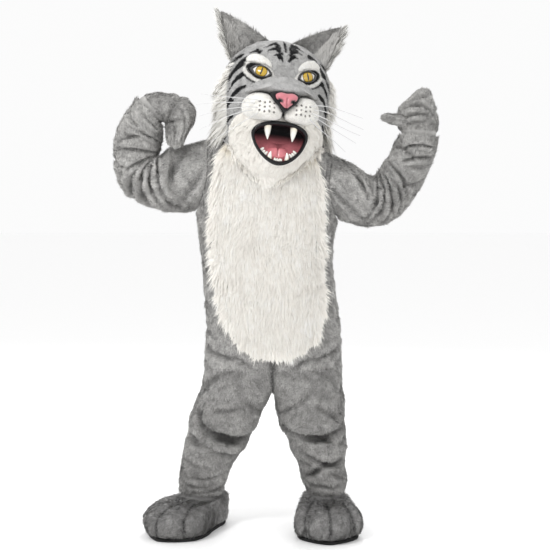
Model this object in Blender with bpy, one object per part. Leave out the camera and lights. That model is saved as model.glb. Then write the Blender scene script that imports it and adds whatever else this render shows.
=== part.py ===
"""Wildcat costume: a plush body suit, a furred head, mitts and foot covers, held in a worn pose.

Metres, +Z up. The costume faces -Y. The origin is where it hangs on the wearer's shoulders, at
the middle of the neck. Left and right are the wearer's own, so left is +X. Every cloth piece is
an open, hollow wall, and neighbours stand SEAM apart where they are sewn.
"""
import math

import bmesh
import bpy
import numpy as np
from mathutils import Vector
from mathutils.bvhtree import BVHTree

for old in list(bpy.data.objects):
    bpy.data.objects.remove(old, do_unlink=True)

# Main sizes
FLOOR = -1.385
PLUSH = 0.006
SEAM = 0.0003
NECK_EASE = 0.0004
SEAT = 0.0008
STAND_OFF = 0.0004
CLEARANCE_STEPS = 8
SOLE_THICK = 0.012

# Body suit sections, bottom to top.
# columns: height, right edge x, left edge x, front depth, back depth, squareness
TORSO = (
    (-0.790, -0.262, 0.268, 0.158, 0.182, 2.2),
    (-0.700, -0.256, 0.264, 0.176, 0.186, 2.3),
    (-0.582, -0.248, 0.256, 0.190, 0.176, 2.4),
    (-0.475, -0.258, 0.240, 0.200, 0.160, 2.4),
    (-0.357, -0.268, 0.230, 0.196, 0.152, 2.4),
    (-0.284, -0.276, 0.232, 0.190, 0.154, 2.4),
    (-0.190, -0.286, 0.250, 0.182, 0.162, 2.4),
    (-0.057, -0.284, 0.256, 0.168, 0.166, 2.4),
    (0.010, -0.272, 0.250, 0.150, 0.156, 2.3),
    (0.048, -0.254, 0.240, 0.134, 0.146, 2.2),
    (0.070, -0.226, 0.222, 0.122, 0.136, 2.1),
    (0.088, -0.172, 0.182, 0.112, 0.122, 2.0),
    (0.104, -0.118, 0.130, 0.102, 0.106, 2.0),
)
HEM_Z = -0.760
NECK_Z = 0.104
SHOULDER_LEAN = -0.12
LEAN_FROM, LEAN_TO = -0.40, 0.02

# Armhole: an ellipse on the side of the body, in angle and height
SIDES = 18
ARM_Z, ARM_HALF_Z = -0.060, 0.130
ARM_HALF_TURN = math.radians(36)
ARMHOLE_GAP = 0.0006
HEIGHTS_BELOW_ARM = (HEM_Z, -0.688, -0.660, -0.615, -0.550, -0.480, -0.380, -0.275)
HEIGHTS_AT_TIP = (-0.7168, -0.7164, -0.716, -0.710, -0.703)
HEIGHTS_ABOVE_ARM = (0.082, 0.094, NECK_Z)
FRONT_COLUMNS, BACK_COLUMNS, BELLY_COLUMNS = 5, 8, 8

# Belly panel, bottom to top.
# columns: height, angle of its right edge, angle of its left edge, in degrees
BELLY = (
    (-0.716, -6.0, 8.5),
    (-0.703, -13.0, 17.0),
    (-0.688, -18.0, 23.0),
    (-0.660, -26.0, 31.0),
    (-0.615, -35.0, 37.5),
    (-0.550, -41.5, 44.0),
    (-0.480, -45.5, 47.5),
    (-0.340, -48.0, 51.0),
    (-0.190, -45.0, 46.0),
    (-0.060, -42.0, 42.0),
    (0.040, -40.0, 40.0),
    (0.104, -38.0, 38.0),
)
BELLY_BOTTOM = -0.716
BELLY_RISE = 0.009
LOCK_SHORT, LOCK_LONG = 0.004, 0.017
LOCKS_TOP = -0.070
FLANK_LIFT = 0.0012

# Centre-back zip
TAPE_BOTTOM = -0.480
TAPE_HALF_TURN = math.radians(4.2)
CHAIN_SHARE = 0.36
CHAIN_RISE = 0.0020
TAPE_SINK = 0.0025
SLIDER_Z = -0.008
SLIDER_SEAT = 0.0005
SLIDER_HALF, SLIDER_EAR, SLIDER_PLATE, SLIDER_TALL, SLIDER_LONG = 0.0065, 0.0016, 0.0016, 0.0058, 0.009
BARREL_RADIUS, BARREL_CLEAR = 0.0015, 0.0004
TAB_HALF, TAB_HALF_THICK, TAB_LONG = 0.0044, 0.0008, 0.030

# Sleeves from the armhole to the cuff; the picture-plane ends of each section.
# columns: place along, x and z of the elbow-pit side, x and z of the outer side, middle y, half depth
SLEEVE_RIGHT = (
    (0.00, -0.290, 0.096, -0.296, -0.172, 0.004, 0.112),
    (0.10, -0.334, 0.074, -0.338, -0.184, 0.002, 0.108),
    (0.20, -0.384, 0.064, -0.398, -0.176, -0.002, 0.104),
    (0.31, -0.412, 0.044, -0.476, -0.155, -0.004, 0.098),
    (0.41, -0.424, 0.034, -0.548, -0.116, -0.006, 0.094),
    (0.51, -0.425, 0.037, -0.590, -0.040, -0.008, 0.090),
    (0.62, -0.421, 0.049, -0.596, 0.040, -0.012, 0.086),
    (0.73, -0.413, 0.076, -0.588, 0.116, -0.018, 0.082),
    (0.84, -0.408, 0.108, -0.560, 0.176, -0.026, 0.076),
    (1.00, -0.409, 0.144, -0.506, 0.250, -0.036, 0.066),
)
SLEEVE_LEFT = (
    (0.00, 0.254, 0.046, 0.262, -0.204, 0.004, 0.112),
    (0.10, 0.298, 0.010, 0.304, -0.228, 0.002, 0.108),
    (0.20, 0.343, -0.022, 0.366, -0.234, -0.002, 0.104),
    (0.31, 0.372, -0.038, 0.434, -0.222, -0.004, 0.098),
    (0.42, 0.390, -0.036, 0.495, -0.184, -0.006, 0.094),
    (0.53, 0.402, -0.018, 0.540, -0.128, -0.008, 0.090),
    (0.65, 0.418, 0.006, 0.574, -0.062, -0.012, 0.086),
    (0.77, 0.440, 0.040, 0.602, 0.004, -0.018, 0.082),
    (0.88, 0.458, 0.082, 0.620, 0.052, -0.026, 0.077),
    (1.00, 0.474, 0.112, 0.624, 0.100, -0.036, 0.072),
)
SLEEVE_PLACES = (0.0, 0.05, 0.10, 0.15, 0.20, 0.25, 0.30, 0.35, 0.40, 0.45, 0.50, 0.55,
                 0.60, 0.66, 0.72, 0.81, 0.91, 1.0)
SLEEVE_JOIN = 0.16

# Folds that run round a sleeve from the elbow pit.
# columns: place along, half width along, depth on the front, depth on the back
SLEEVE_FOLDS_RIGHT = (
    (0.15, 0.025, -0.012, -0.006),
    (0.20, 0.025, 0.008, 0.004),
    (0.30, 0.022, -0.013, -0.010),
    (0.40, 0.022, -0.012, -0.010),
    (0.50, 0.022, -0.011, -0.009),
    (0.60, 0.025, -0.009, -0.008),
    (0.66, 0.025, 0.005, 0.004),
    (0.72, 0.025, -0.012, -0.007),
)
SLEEVE_FOLDS_LEFT = (
    (0.15, 0.025, -0.012, -0.006),
    (0.25, 0.022, -0.013, -0.009),
    (0.35, 0.022, -0.014, -0.011),
    (0.45, 0.022, -0.011, -0.009),
    (0.55, 0.025, -0.009, -0.007),
    (0.72, 0.030, -0.006, -0.006),
    (0.84, 0.025, -0.008, -0.006),
)

# Legs from the hip seam to the hem; the picture-plane ends of each section.
# columns: place along, x and z of the outer side, x and z of the inner side, middle y, half depth
LEG_RIGHT = (
    (0.00, -0.260, -0.770, -0.012, -0.860, 0.010, 0.150),
    (0.14, -0.264, -0.830, -0.014, -0.900, 0.004, 0.140),
    (0.26, -0.288, -0.895, -0.036, -0.940, -0.002, 0.130),
    (0.38, -0.314, -0.955, -0.064, -0.998, -0.010, 0.124),
    (0.50, -0.324, -1.020, -0.096, -1.058, -0.010, 0.112),
    (0.62, -0.342, -1.085, -0.132, -1.115, -0.004, 0.108),
    (0.74, -0.350, -1.145, -0.162, -1.165, 0.004, 0.098),
    (0.87, -0.358, -1.200, -0.177, -1.212, 0.008, 0.092),
    (1.00, -0.360, -1.250, -0.189, -1.254, 0.010, 0.082),
)
LEG_LEFT = (
    (0.00, 0.264, -0.770, 0.012, -0.860, 0.010, 0.150),
    (0.14, 0.266, -0.830, 0.012, -0.900, 0.004, 0.140),
    (0.26, 0.277, -0.892, 0.014, -0.936, -0.002, 0.130),
    (0.38, 0.276, -0.955, 0.026, -0.986, -0.010, 0.126),
    (0.50, 0.281, -1.022, 0.058, -1.038, -0.010, 0.110),
    (0.62, 0.285, -1.085, 0.070, -1.092, -0.004, 0.108),
    (0.74, 0.278, -1.142, 0.098, -1.142, 0.004, 0.096),
    (0.87, 0.288, -1.198, 0.110, -1.198, 0.008, 0.092),
    (1.00, 0.277, -1.250, 0.134, -1.252, 0.010, 0.078),
)
LEG_PLACES = (0.0, 0.06, 0.13, 0.22, 0.32, 0.40, 0.45, 0.50, 0.56, 0.62, 0.68, 0.75, 0.83,
              0.92, 1.0)
LEG_JOIN = 0.20
CROTCH_DROP = 0.107
CROTCH_STEPS = 6

# Bags and creases that run across a leg.
# columns: place along, half width along, depth on the front, depth on the back, slant
LEG_FOLDS_RIGHT = (
    (0.39, 0.045, 0.010, 0.006, 0.04),
    (0.46, 0.035, -0.014, -0.008, 0.05),
    (0.56, 0.040, 0.008, 0.005, 0.03),
    (0.63, 0.035, -0.012, -0.007, -0.03),
    (0.84, 0.030, 0.004, 0.004, 0.0),
    (0.92, 0.030, -0.007, -0.006, 0.0),
)
LEG_FOLDS_LEFT = (
    (0.41, 0.050, 0.012, 0.007, 0.0),
    (0.49, 0.035, -0.016, -0.009, 0.0),
    (0.61, 0.045, 0.010, 0.006, -0.02),
    (0.69, 0.035, -0.014, -0.008, -0.03),
    (0.80, 0.030, -0.006, -0.004, 0.04),
    (0.92, 0.030, -0.006, -0.006, 0.0),
)

# Mitts from inside the cuff to the finger tips.
# columns: place along, x and z of the palm side, x and z of the back of the hand, middle y, half depth
MITT_RIGHT = (
    (0.20, -0.402, 0.160, -0.474, 0.264, -0.040, 0.066),
    (0.30, -0.397, 0.152, -0.436, 0.267, -0.042, 0.070),
    (0.42, -0.394, 0.141, -0.388, 0.264, -0.046, 0.074),
    (0.53, -0.394, 0.126, -0.330, 0.250, -0.050, 0.076),
    (0.63, -0.394, 0.110, -0.286, 0.212, -0.056, 0.074),
    (0.72, -0.391, 0.094, -0.284, 0.166, -0.064, 0.066),
    (0.82, -0.387, 0.080, -0.302, 0.128, -0.074, 0.055),
    (0.91, -0.380, 0.068, -0.317, 0.094, -0.084, 0.046),
    (1.00, -0.366, 0.060, -0.330, 0.066, -0.090, 0.030),
)
MITT_LEFT = (
    (0.16, 0.472, 0.126, 0.624, 0.112, -0.040, 0.072),
    (0.34, 0.468, 0.152, 0.622, 0.146, -0.042, 0.076),
    (0.48, 0.470, 0.169, 0.620, 0.162, -0.050, 0.078),
    (0.60, 0.468, 0.193, 0.616, 0.188, -0.050, 0.076),
    (0.70, 0.474, 0.214, 0.610, 0.206, -0.050, 0.070),
    (0.78, 0.494, 0.232, 0.605, 0.224, -0.050, 0.062),
    (0.86, 0.514, 0.248, 0.602, 0.242, -0.050, 0.054),
    (0.94, 0.526, 0.264, 0.598, 0.259, -0.050, 0.044),
    (1.00, 0.542, 0.277, 0.588, 0.274, -0.050, 0.030),
)
MITT_PLACES = (0.24, 0.36, 0.48, 0.60, 0.70, 0.80, 0.91, 1.0)
MITT_TUCK = 0.91
CUFF_GAP = 0.0007
# The left thumb: where it is sewn on, in the mitt's turn and place, and its tip
THUMB_SIDES = 8
THUMB_TURN, THUMB_HALF_TURN = math.radians(28), math.radians(26)
THUMB_PLACE, THUMB_HALF_PLACE = 0.40, 0.15
THUMB_TIP = (0.405, -0.090, 0.175)
THUMB_SEAT = 0.0012
# columns: share of the way to the tip, size against the root
THUMB_RINGS = ((0.25, 1.02), (0.55, 0.92), (0.85, 0.62), (0.97, 0.30))
COLLAR_CLEAR = 0.006

# Foot covers, sole to ankle, in the foot's own frame.
# columns: height over the sole, reach forward, reach back, half width at the toes, half width at the heel
FOOT = (
    (0.000, 0.276, 0.104, 0.140, 0.074),
    (0.030, 0.292, 0.114, 0.151, 0.080),
    (0.060, 0.288, 0.116, 0.149, 0.084),
    (0.084, 0.264, 0.114, 0.138, 0.086),
    (0.102, 0.210, 0.110, 0.120, 0.088),
    (0.114, 0.136, 0.104, 0.102, 0.090),
)
FOOT_HEIGHTS = (0.0, 0.022, 0.052, 0.080, 0.100, 0.114)
FOOT_TUCK = 0.92
ANKLE_GAP = 0.0016
# columns: side name, x and y of the ankle, turn in degrees outwards
FEET = (
    ("right", -0.268, 0.004, -34.0),
    ("left", 0.203, 0.004, 2.0),
)

# Head, in its own frame, neck rim to crown.
# columns: height, half width, front depth, back depth, squareness
HEAD = (
    (-0.120, 0.176, 0.190, 0.166, 2.0),
    (-0.060, 0.180, 0.228, 0.166, 2.0),
    (0.000, 0.186, 0.240, 0.162, 2.0),
    (0.060, 0.194, 0.234, 0.158, 2.1),
    (0.120, 0.201, 0.212, 0.160, 2.2),
    (0.180, 0.206, 0.198, 0.166, 2.2),
    (0.250, 0.202, 0.190, 0.176, 2.2),
    (0.310, 0.184, 0.176, 0.172, 2.1),
    (0.350, 0.158, 0.152, 0.152, 2.1),
    (0.384, 0.118, 0.114, 0.116, 2.0),
    (0.404, 0.074, 0.072, 0.074, 2.0),
    (0.412, 0.036, 0.036, 0.036, 2.0),
)
HEAD_TOP = 0.415
HEAD_PIVOT = np.array((-0.010, 0.0, 0.052))
HEAD_TURN, HEAD_ROLL = math.radians(9.5), math.radians(6.0)
# columns: angle from the front of the suit, height of the neck rim on it
RIM = (
    (0.0, -0.072),
    (14.0, -0.058),
    (28.0, -0.022),
    (50.0, 0.040),
    (70.0, 0.072),
    (90.0, 0.084),
    (110.0, 0.082),
    (130.0, 0.072),
    (145.0, 0.054),
    (160.0, 0.040),
    (180.0, 0.035),
)
RIM_LIFT = 0.0026
RIM_DIP, RIM_DIP_TURN = 0.0018, math.radians(45)
FACE_HALF_TURN = 64.0
# columns: angle from the face, height of the edge between grey face and white chin
CHIN_EDGE = (
    (0.0, 0.135),
    (30.0, 0.135),
    (48.0, 0.110),
    (64.0, 0.070),
)
HEAD_WALL = 0.007
SKIRT_SHARE = 0.13
CROWN_PART = 0.86
CHIN_STEPS = (0.0, 0.25, 0.50, 0.75, 1.0)
FACE_STEPS = (0.0, 0.18, 0.36, 0.54, 0.76, 1.0)
BACK_HALF_TURNS = (64.0, 78.0, 92.0, 106.0, 120.0, 134.0, 148.0, 164.0)
CROWN_PARTS = (CROWN_PART, 0.925, 0.975)

# Mouth, in the head's frame
MOUTH_HALF, MOUTH_TOP, MOUTH_BOTTOM = 0.126, 0.0935, -0.058
MOUTH_TAPER = 0.52
MOUTH_SIDES = 20
LIP_WIDE = 0.010
# columns: inwards from the mouth's edge, back from the face
LIP_SECTION = ((0.0008, -0.008), (0.0008, 0.013), (0.0060, 0.014), (LIP_WIDE, 0.006), (0.0070, -0.010))
# columns: inwards from the mouth's edge, back from the face, share of the way to the back
LINING = ((0.0030, 0.0146, 0.0), (0.0070, 0.024, 0.2), (0.0160, 0.030, 0.55), (0.0320, 0.030, 0.9),
          (0.0500, 0.030, 1.0))
# columns: height, depth of the mouth's back
MOUTH_BACK = ((-0.060, -0.205), (0.000, -0.178), (0.050, -0.146), (0.100, -0.120))
LINING_THICK = 0.0025
TONGUE_THICK = 0.016
TONGUE_COLUMNS = (12, 13, 14, 15, 16, 17, 18)
TOOTH_THICK = 0.007
FANG_SEAT = 0.0004
BACKWARD = np.array((0.0, 1.0, 0.0))
# columns: name, angle round the mouth, length, radius
FANGS = (
    ("fang_upper_left", 65.0, 0.051, 0.0105),
    ("fang_upper_right", 115.0, 0.051, 0.0105),
    ("fang_lower_left", 303.0, 0.028, 0.0075),
    ("fang_lower_right", 237.0, 0.028, 0.0075),
)
# columns: name, first and last angle round the mouth, height
TOOTH_ROWS = (
    ("incisors", 256.0, 284.0, 0.010),
    ("molars_left", 318.0, 338.0, 0.012),
    ("molars_right", 202.0, 222.0, 0.012),
)

# Muzzle outlines seen from the front, in the head's frame: x and height
PAD = ((0.004, 0.142), (0.006, 0.110), (0.030, 0.097), (0.070, 0.0955), (0.108, 0.099), (0.135, 0.114),
       (0.142, 0.142), (0.133, 0.170), (0.108, 0.189), (0.074, 0.192), (0.040, 0.180))
PAD_RISE = 0.072
BRIDGE_SIDE = ((0.028, 0.1880), (0.050, 0.1940), (0.074, 0.1985), (0.100, 0.1970), (0.122, 0.1915),
               (0.136, 0.194), (0.132, 0.206), (0.112, 0.223), (0.084, 0.239), (0.050, 0.253))
BRIDGE = ((0.0, 0.186),) + BRIDGE_SIDE + ((0.0, 0.258),) + tuple((-x, h) for x, h in reversed(BRIDGE_SIDE))
NOSE_SIDE = ((0.020, 0.144), (0.043, 0.165), (0.050, 0.188), (0.030, 0.200))
NOSE = ((0.0, 0.130),) + NOSE_SIDE + ((0.0, 0.198),) + tuple((-x, h) for x, h in reversed(NOSE_SIDE))
NOSE_MIDDLE = (0.0, 0.170)

# Eyes, seen from the front
EYE_X, EYE_HEIGHT, EYE_TILT = 0.086, 0.272, math.radians(17)
EYE_HALF_X, EYE_HALF_H = 0.026, 0.0155
RIM_HALF_X, RIM_HALF_H = 0.0365, 0.0230
BROW = ((0.050, 0.288), (0.064, 0.295), (0.090, 0.302), (0.116, 0.307), (0.132, 0.308), (0.132, 0.322),
        (0.110, 0.334), (0.080, 0.327), (0.058, 0.309))

# Ears
EAR_BASE = (0.141, 0.010, 0.350)
EAR_TIP = (0.230, 0.030, 0.499)
EAR_HALF, EAR_CUP, EAR_THICK = 0.080, 0.040, 0.008
EAR_PARTS = (0.0, 0.22, 0.45, 0.68, 0.86, 0.98)
EAR_POINT = 0.80
EAR_LOCKS = 9
EAR_STRIP_GAP = 0.0008
EAR_CLEAR = 0.0010
LOCK_REACH, LOCK_VALLEY = 0.026, 0.012

# Cheek ruffs: turns across the band, rise over the head on the band and at each lock
RUFF_TURNS = (66.0, 78.0, 92.0, 104.0)
RUFF_RISE = (0.006, 0.020, 0.028, 0.010)
RUFF_LOCK = (0.0, 0.004, 0.016, 0.004)
RUFF_LOW, RUFF_HIGH = 0.10, 0.72
RUFF_LOCKS = 8
RUFF_SEAT = 0.0016

# Whiskers: x and height of the root on the pad, sideways reach, drop
WHISKERS = (
    (0.092, 0.158, 0.200, 0.000),
    (0.108, 0.148, 0.190, -0.026),
    (0.098, 0.134, 0.190, -0.042),
    (0.112, 0.124, 0.165, -0.064),
    (0.094, 0.114, 0.150, -0.086),
)
WHISKER_RADIUS = 0.0010
WHISKER_SEAT = 0.0009
WHISKER_STAND = 0.022

COLOURS = {
    "grey_plush": ((0.300, 0.300, 0.296, 1.0), 0.95),
    "dark_plush": ((0.170, 0.170, 0.170, 1.0), 0.95),
    "white_fur": ((0.800, 0.780, 0.730, 1.0), 0.95),
    "black_rubber": ((0.012, 0.012, 0.012, 1.0), 0.35),
    "black_sole": ((0.020, 0.020, 0.020, 1.0), 0.70),
    "pink": ((0.620, 0.190, 0.220, 1.0), 0.40),
    "tooth": ((0.880, 0.870, 0.830, 1.0), 0.25),
    "eye": ((0.700, 0.420, 0.020, 1.0), 0.08),
    "bristle": ((0.900, 0.890, 0.860, 1.0), 0.35),
    "tape": ((0.130, 0.130, 0.135, 1.0), 0.85),
    "metal": ((0.600, 0.600, 0.620, 1.0), 0.30),
}


def material(name):
    """The named material, made once."""
    if name in bpy.data.materials:
        return bpy.data.materials[name]
    colour, rough = COLOURS[name]
    made = bpy.data.materials.new(name)
    made.use_nodes = True
    shader = made.node_tree.nodes["Principled BSDF"]
    shader.inputs["Base Color"].default_value = colour
    shader.inputs["Roughness"].default_value = rough
    shader.inputs["Metallic"].default_value = 1.0 if name == "metal" else 0.0
    made.diffuse_color = colour
    return made


def smooth(table, at):
    """The columns of a table at places along its first column, on one smooth curve."""
    rows = np.array(table, float)
    knots, values = rows[:, 0], rows[:, 1:]
    slopes = np.gradient(values, knots, axis=0)
    at = np.asarray(at, float)
    low = np.clip(np.searchsorted(knots, at, side="right") - 1, 0, len(knots) - 2)
    span = knots[low + 1] - knots[low]
    part = ((at - knots[low]) / span)[..., None]
    span = span[..., None]
    a, b = values[low], values[low + 1]
    rise_a, rise_b = slopes[low] * span, slopes[low + 1] * span
    cube, square = part ** 3, part ** 2
    return ((2 * cube - 3 * square + 1) * a + (cube - 2 * square + part) * rise_a
            + (3 * square - 2 * cube) * b + (cube - square) * rise_b)


def ease(value):
    """0 to 1 with flat ends."""
    value = np.clip(value, 0.0, 1.0)
    return value * value * (3.0 - 2.0 * value)


def settle(value):
    """0 to 1, fast at first and flat at the end."""
    return 1.0 - (1.0 - np.clip(value, 0.0, 1.0)) ** 2


def unit(vectors):
    return vectors / np.maximum(np.linalg.norm(vectors, axis=-1, keepdims=True), 1e-12)


def section(turn, middle, half, front, back, power):
    """x and y of a rounded section; turn 0 is the front, a quarter turn is +X."""
    side, ahead = np.sin(turn), np.cos(turn)
    bend = 2.0 / power
    x = middle + half * np.sign(side) * np.abs(side) ** bend
    reach = np.where(ahead > 0.0, -front, back)
    return x, reach * np.abs(ahead) ** bend


def torso_point(turn, height):
    """A point of the body suit's outside."""
    right, left, front, back, power = np.moveaxis(smooth(TORSO, height), -1, 0)
    x, y = section(turn, (left + right) / 2, (left - right) / 2, front, back, power)
    lean = SHOULDER_LEAN * ease((height - LEAN_FROM) / (LEAN_TO - LEAN_FROM))
    return np.stack([x, y, height + lean * x], axis=-1)


def outward(surface, turn, height, turn_step=0.02, height_step=0.004):
    """Unit vectors out of a surface whose turn grows from -Y to +X."""
    across = surface(turn + turn_step, height) - surface(turn - turn_step, height)
    up = surface(turn, height + height_step) - surface(turn, height - height_step)
    return unit(np.cross(across, up))


def add_object(name, points, faces, colour):
    mesh = bpy.data.meshes.new(name)
    mesh.from_pydata([tuple(point) for point in points], [], faces)
    shape = bmesh.new()
    shape.from_mesh(mesh)
    bmesh.ops.recalc_face_normals(shape, faces=shape.faces[:])
    shape.to_mesh(mesh)
    shape.free()
    mesh.materials.append(material(colour))
    mesh.shade_smooth()
    mesh.set_sharp_from_angle(angle=math.radians(50))
    thing = bpy.data.objects.new(name, mesh)
    bpy.context.scene.collection.objects.link(thing)
    return thing


def wall(name, outside, inside, colour, ring=False, tip=False):
    """A closed wall between two grids of points; ring joins the last column to the first.

    With tip the last row is one point, so the wall closes there.
    """
    rows, columns = outside.shape[:2]
    points = list(outside.reshape(-1, 3)) + list(inside.reshape(-1, 3))
    shift = rows * columns
    faces = []
    last = rows - 1 if tip else rows
    around = columns if ring else columns - 1

    def spot(row, column, layer):
        return layer * shift + row * columns + column % columns

    for row in range(last - 1):
        for column in range(around):
            faces.append((spot(row, column, 0), spot(row, column + 1, 0),
                          spot(row + 1, column + 1, 0), spot(row + 1, column, 0)))
            faces.append((spot(row, column, 1), spot(row + 1, column, 1),
                          spot(row + 1, column + 1, 1), spot(row, column + 1, 1)))
    for column in range(around):
        faces.append((spot(0, column, 0), spot(0, column, 1),
                      spot(0, column + 1, 1), spot(0, column + 1, 0)))
        if not tip:
            faces.append((spot(rows - 1, column, 0), spot(rows - 1, column + 1, 0),
                          spot(rows - 1, column + 1, 1), spot(rows - 1, column, 1)))
    if tip:
        for layer in (0, 1):
            centre = spot(rows - 1, 0, layer)
            for column in range(around):
                faces.append((spot(last - 1, column, layer), spot(last - 1, column + 1, layer), centre))
    if not ring:
        for row in range(last - 1):
            for column in (0, columns - 1):
                faces.append((spot(row, column, 0), spot(row, column, 1),
                              spot(row + 1, column, 1), spot(row + 1, column, 0)))
    used = sorted({index for face in faces for index in face})
    place = {old: new for new, old in enumerate(used)}
    return add_object(name, [points[index] for index in used],
                      [tuple(place[index] for index in face) for face in faces], colour)


def grid_inward(grid):
    """Unit vectors across a ring grid, towards its inside."""
    around = np.roll(grid, -1, axis=1) - np.roll(grid, 1, axis=1)
    along = np.gradient(grid, axis=0)
    across = unit(np.cross(around, along))
    middle = grid.mean(axis=1, keepdims=True) - grid
    return np.where((across * middle).sum(axis=-1, keepdims=True) < 0.0, -across, across)


# Body suit


def arm_turns():
    return np.arange(SIDES // 2 + 1) * (2 * math.pi / SIDES)


ARM_HEIGHTS = ARM_Z - ARM_HALF_Z * np.cos(arm_turns())
TAPE_TOP = ARM_HEIGHTS[6]
HEIGHTS = np.concatenate([HEIGHTS_BELOW_ARM, ARM_HEIGHTS, HEIGHTS_ABOVE_ARM])
FRONT_HEIGHTS = np.sort(np.concatenate([HEIGHTS, HEIGHTS_AT_TIP]))
BACK_HEIGHTS = np.sort(np.concatenate([HEIGHTS, [TAPE_BOTTOM - SEAM, TAPE_TOP + SEAM]]))


def arm_edge(heights):
    """How far the armhole reaches from the side seam, as an angle."""
    inside = 1.0 - ((heights - ARM_Z) / ARM_HALF_Z) ** 2
    return ARM_HALF_TURN * np.sqrt(np.clip(inside, 0.0, 1.0))


def between(heights, low, high):
    return (heights > low - 1e-6) & (heights < high + 1e-6)


def belly_edges(heights):
    """The belly panel's two edges as angles; both are 0 above and below it."""
    edges = np.radians(smooth(BELLY, np.maximum(heights, BELLY_BOTTOM)))
    within = between(heights, HEIGHTS_AT_TIP[1], NECK_Z)
    return np.where(within, edges[:, 0], 0.0), np.where(within, edges[:, 1], 0.0)


def seam_turn(heights):
    """Half a seam's width as an angle, wider where the shoulders turn in to the neck."""
    return (SEAM / 2 + NECK_EASE * ease((heights - 0.05) / 0.02)) / 0.12


def torso_wall(name, levels, turns, colour):
    """A body panel: one row of turns for each height."""
    heights = np.repeat(levels[:, None], turns.shape[1], axis=1)
    outside = torso_point(turns, heights)
    into = -outward(torso_point, turns, heights)
    into[0, :, 2] = 0.0
    into[0] = unit(into[0])
    return wall(name, outside, outside + into * PLUSH, colour)


def spread(starts, ends, columns):
    part = np.linspace(0.0, 1.0, columns)[None, :]
    return starts[:, None] * (1.0 - part) + ends[:, None] * part


def suit_panels():
    front, behind = FRONT_HEIGHTS, BACK_HEIGHTS
    gap = seam_turn(front)
    right_edge, left_edge = belly_edges(front)
    side = math.pi / 2 - np.maximum(arm_edge(front), gap)
    torso_wall("suit_front_left", front, spread(left_edge + gap, side, FRONT_COLUMNS), "grey_plush")
    torso_wall("suit_front_right", front, spread(right_edge - gap, -side, FRONT_COLUMNS), "grey_plush")
    gap = seam_turn(behind)
    back = math.pi / 2 + np.maximum(arm_edge(behind), gap)
    middle = math.pi - tape_turns(behind) - gap
    torso_wall("suit_back_left", behind, spread(back, middle, BACK_COLUMNS), "grey_plush")
    torso_wall("suit_back_right", behind, spread(-back, -middle, BACK_COLUMNS), "grey_plush")


def tape_turns(heights):
    """Half the zip tape's width as an angle, 0 above and below it."""
    return np.where(between(heights, TAPE_BOTTOM, TAPE_TOP), TAPE_HALF_TURN, 0.0)


def back_zip():
    """The tape let into the centre back, with the closed chain raised along its middle."""
    heights = BACK_HEIGHTS[between(BACK_HEIGHTS, TAPE_BOTTOM, TAPE_TOP)]
    half = TAPE_HALF_TURN - (SEAM / 2) / 0.12
    turns = math.pi + half * np.array((-1.0, -CHAIN_SHARE, 0.0, CHAIN_SHARE, 1.0))
    turn, height = np.meshgrid(turns, heights)
    face = torso_point(turn, height)
    out = outward(torso_point, turn, height)
    raised = np.array((0.0, CHAIN_RISE, CHAIN_RISE, CHAIN_RISE, 0.0))[None, :, None]
    sunk = out * (raised - TAPE_SINK)
    wall("back_zip_tape", face + sunk, face - out * PLUSH, "tape")


def belly_panel():
    heights = FRONT_HEIGHTS[between(FRONT_HEIGHTS, BELLY_BOTTOM, NECK_Z)]
    right_edge, left_edge = belly_edges(heights)
    gap = seam_turn(heights)
    turns = spread(right_edge + gap, left_edge - gap, BELLY_COLUMNS)
    level = np.repeat(heights[:, None], BELLY_COLUMNS, axis=1)
    base = torso_point(turns, level)
    out = outward(torso_point, turns, level)
    fade = ease((0.030 - level) / 0.06)
    outside = base + out * (BELLY_RISE * fade + 0.001)[..., None]
    inside = base - out * PLUSH
    reach = np.where(np.arange(len(heights)) % 2 == 0, LOCK_SHORT, LOCK_LONG) / 0.22
    reach = np.where(heights > LOCKS_TOP, 0.002, reach)
    reach[0] = 0.002

    def flank(edge, sign):
        lock = edge + sign * reach
        tip = torso_point(lock, heights)
        tip_out = outward(torso_point, lock, heights)
        lift = (FLANK_LIFT + 0.0012 * ease((-0.66 - heights) / 0.05))[:, None]
        root = torso_point(edge, heights)
        root_out = outward(torso_point, edge, heights)
        fade = ease((0.030 - heights) / 0.06)[:, None]
        high = 0.35 * BELLY_RISE * fade + 0.001
        return (tip + tip_out * (lift + high), root + root_out * (BELLY_RISE * 0.8 * fade + lift + 0.001),
                tip + tip_out * lift, root + root_out * lift)

    tip_r, over_r, under_tip_r, under_r = flank(turns[:, 0], -1.0)
    tip_l, over_l, under_tip_l, under_l = flank(turns[:, -1], 1.0)
    body_out = outside[:, 1:-1]
    outer = np.concatenate([tip_r[:, None], over_r[:, None], body_out[:, :1], body_out,
                            body_out[:, -1:], over_l[:, None], tip_l[:, None]], axis=1)
    outer[:, 2] = 0.5 * (over_r + body_out[:, 0])
    outer[:, -3] = 0.5 * (over_l + body_out[:, -1])
    inner = np.concatenate([under_tip_r[:, None], under_r[:, None], inside,
                            under_l[:, None], under_tip_l[:, None]], axis=1)
    return wall("belly_panel", outer, inner, "white_fur")


def ring_turns(count):
    return np.arange(count) * (2 * math.pi / count)


def sleeve_ring(table, turn, place):
    """A sleeve's own section; turn 0 is the elbow-pit side, a quarter turn the front."""
    near_x, near_z, far_x, far_z, middle_y, depth = np.moveaxis(smooth(table, place), -1, 0)
    swing = np.sign(np.cos(turn)) * np.abs(np.cos(turn)) ** 0.92
    lift = np.sign(np.sin(turn)) * np.abs(np.sin(turn)) ** 0.92
    x = (near_x + far_x) / 2 + (near_x - far_x) / 2 * swing
    z = (near_z + far_z) / 2 + (near_z - far_z) / 2 * swing
    return np.stack([x, middle_y - depth * lift, z], axis=-1)


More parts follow.
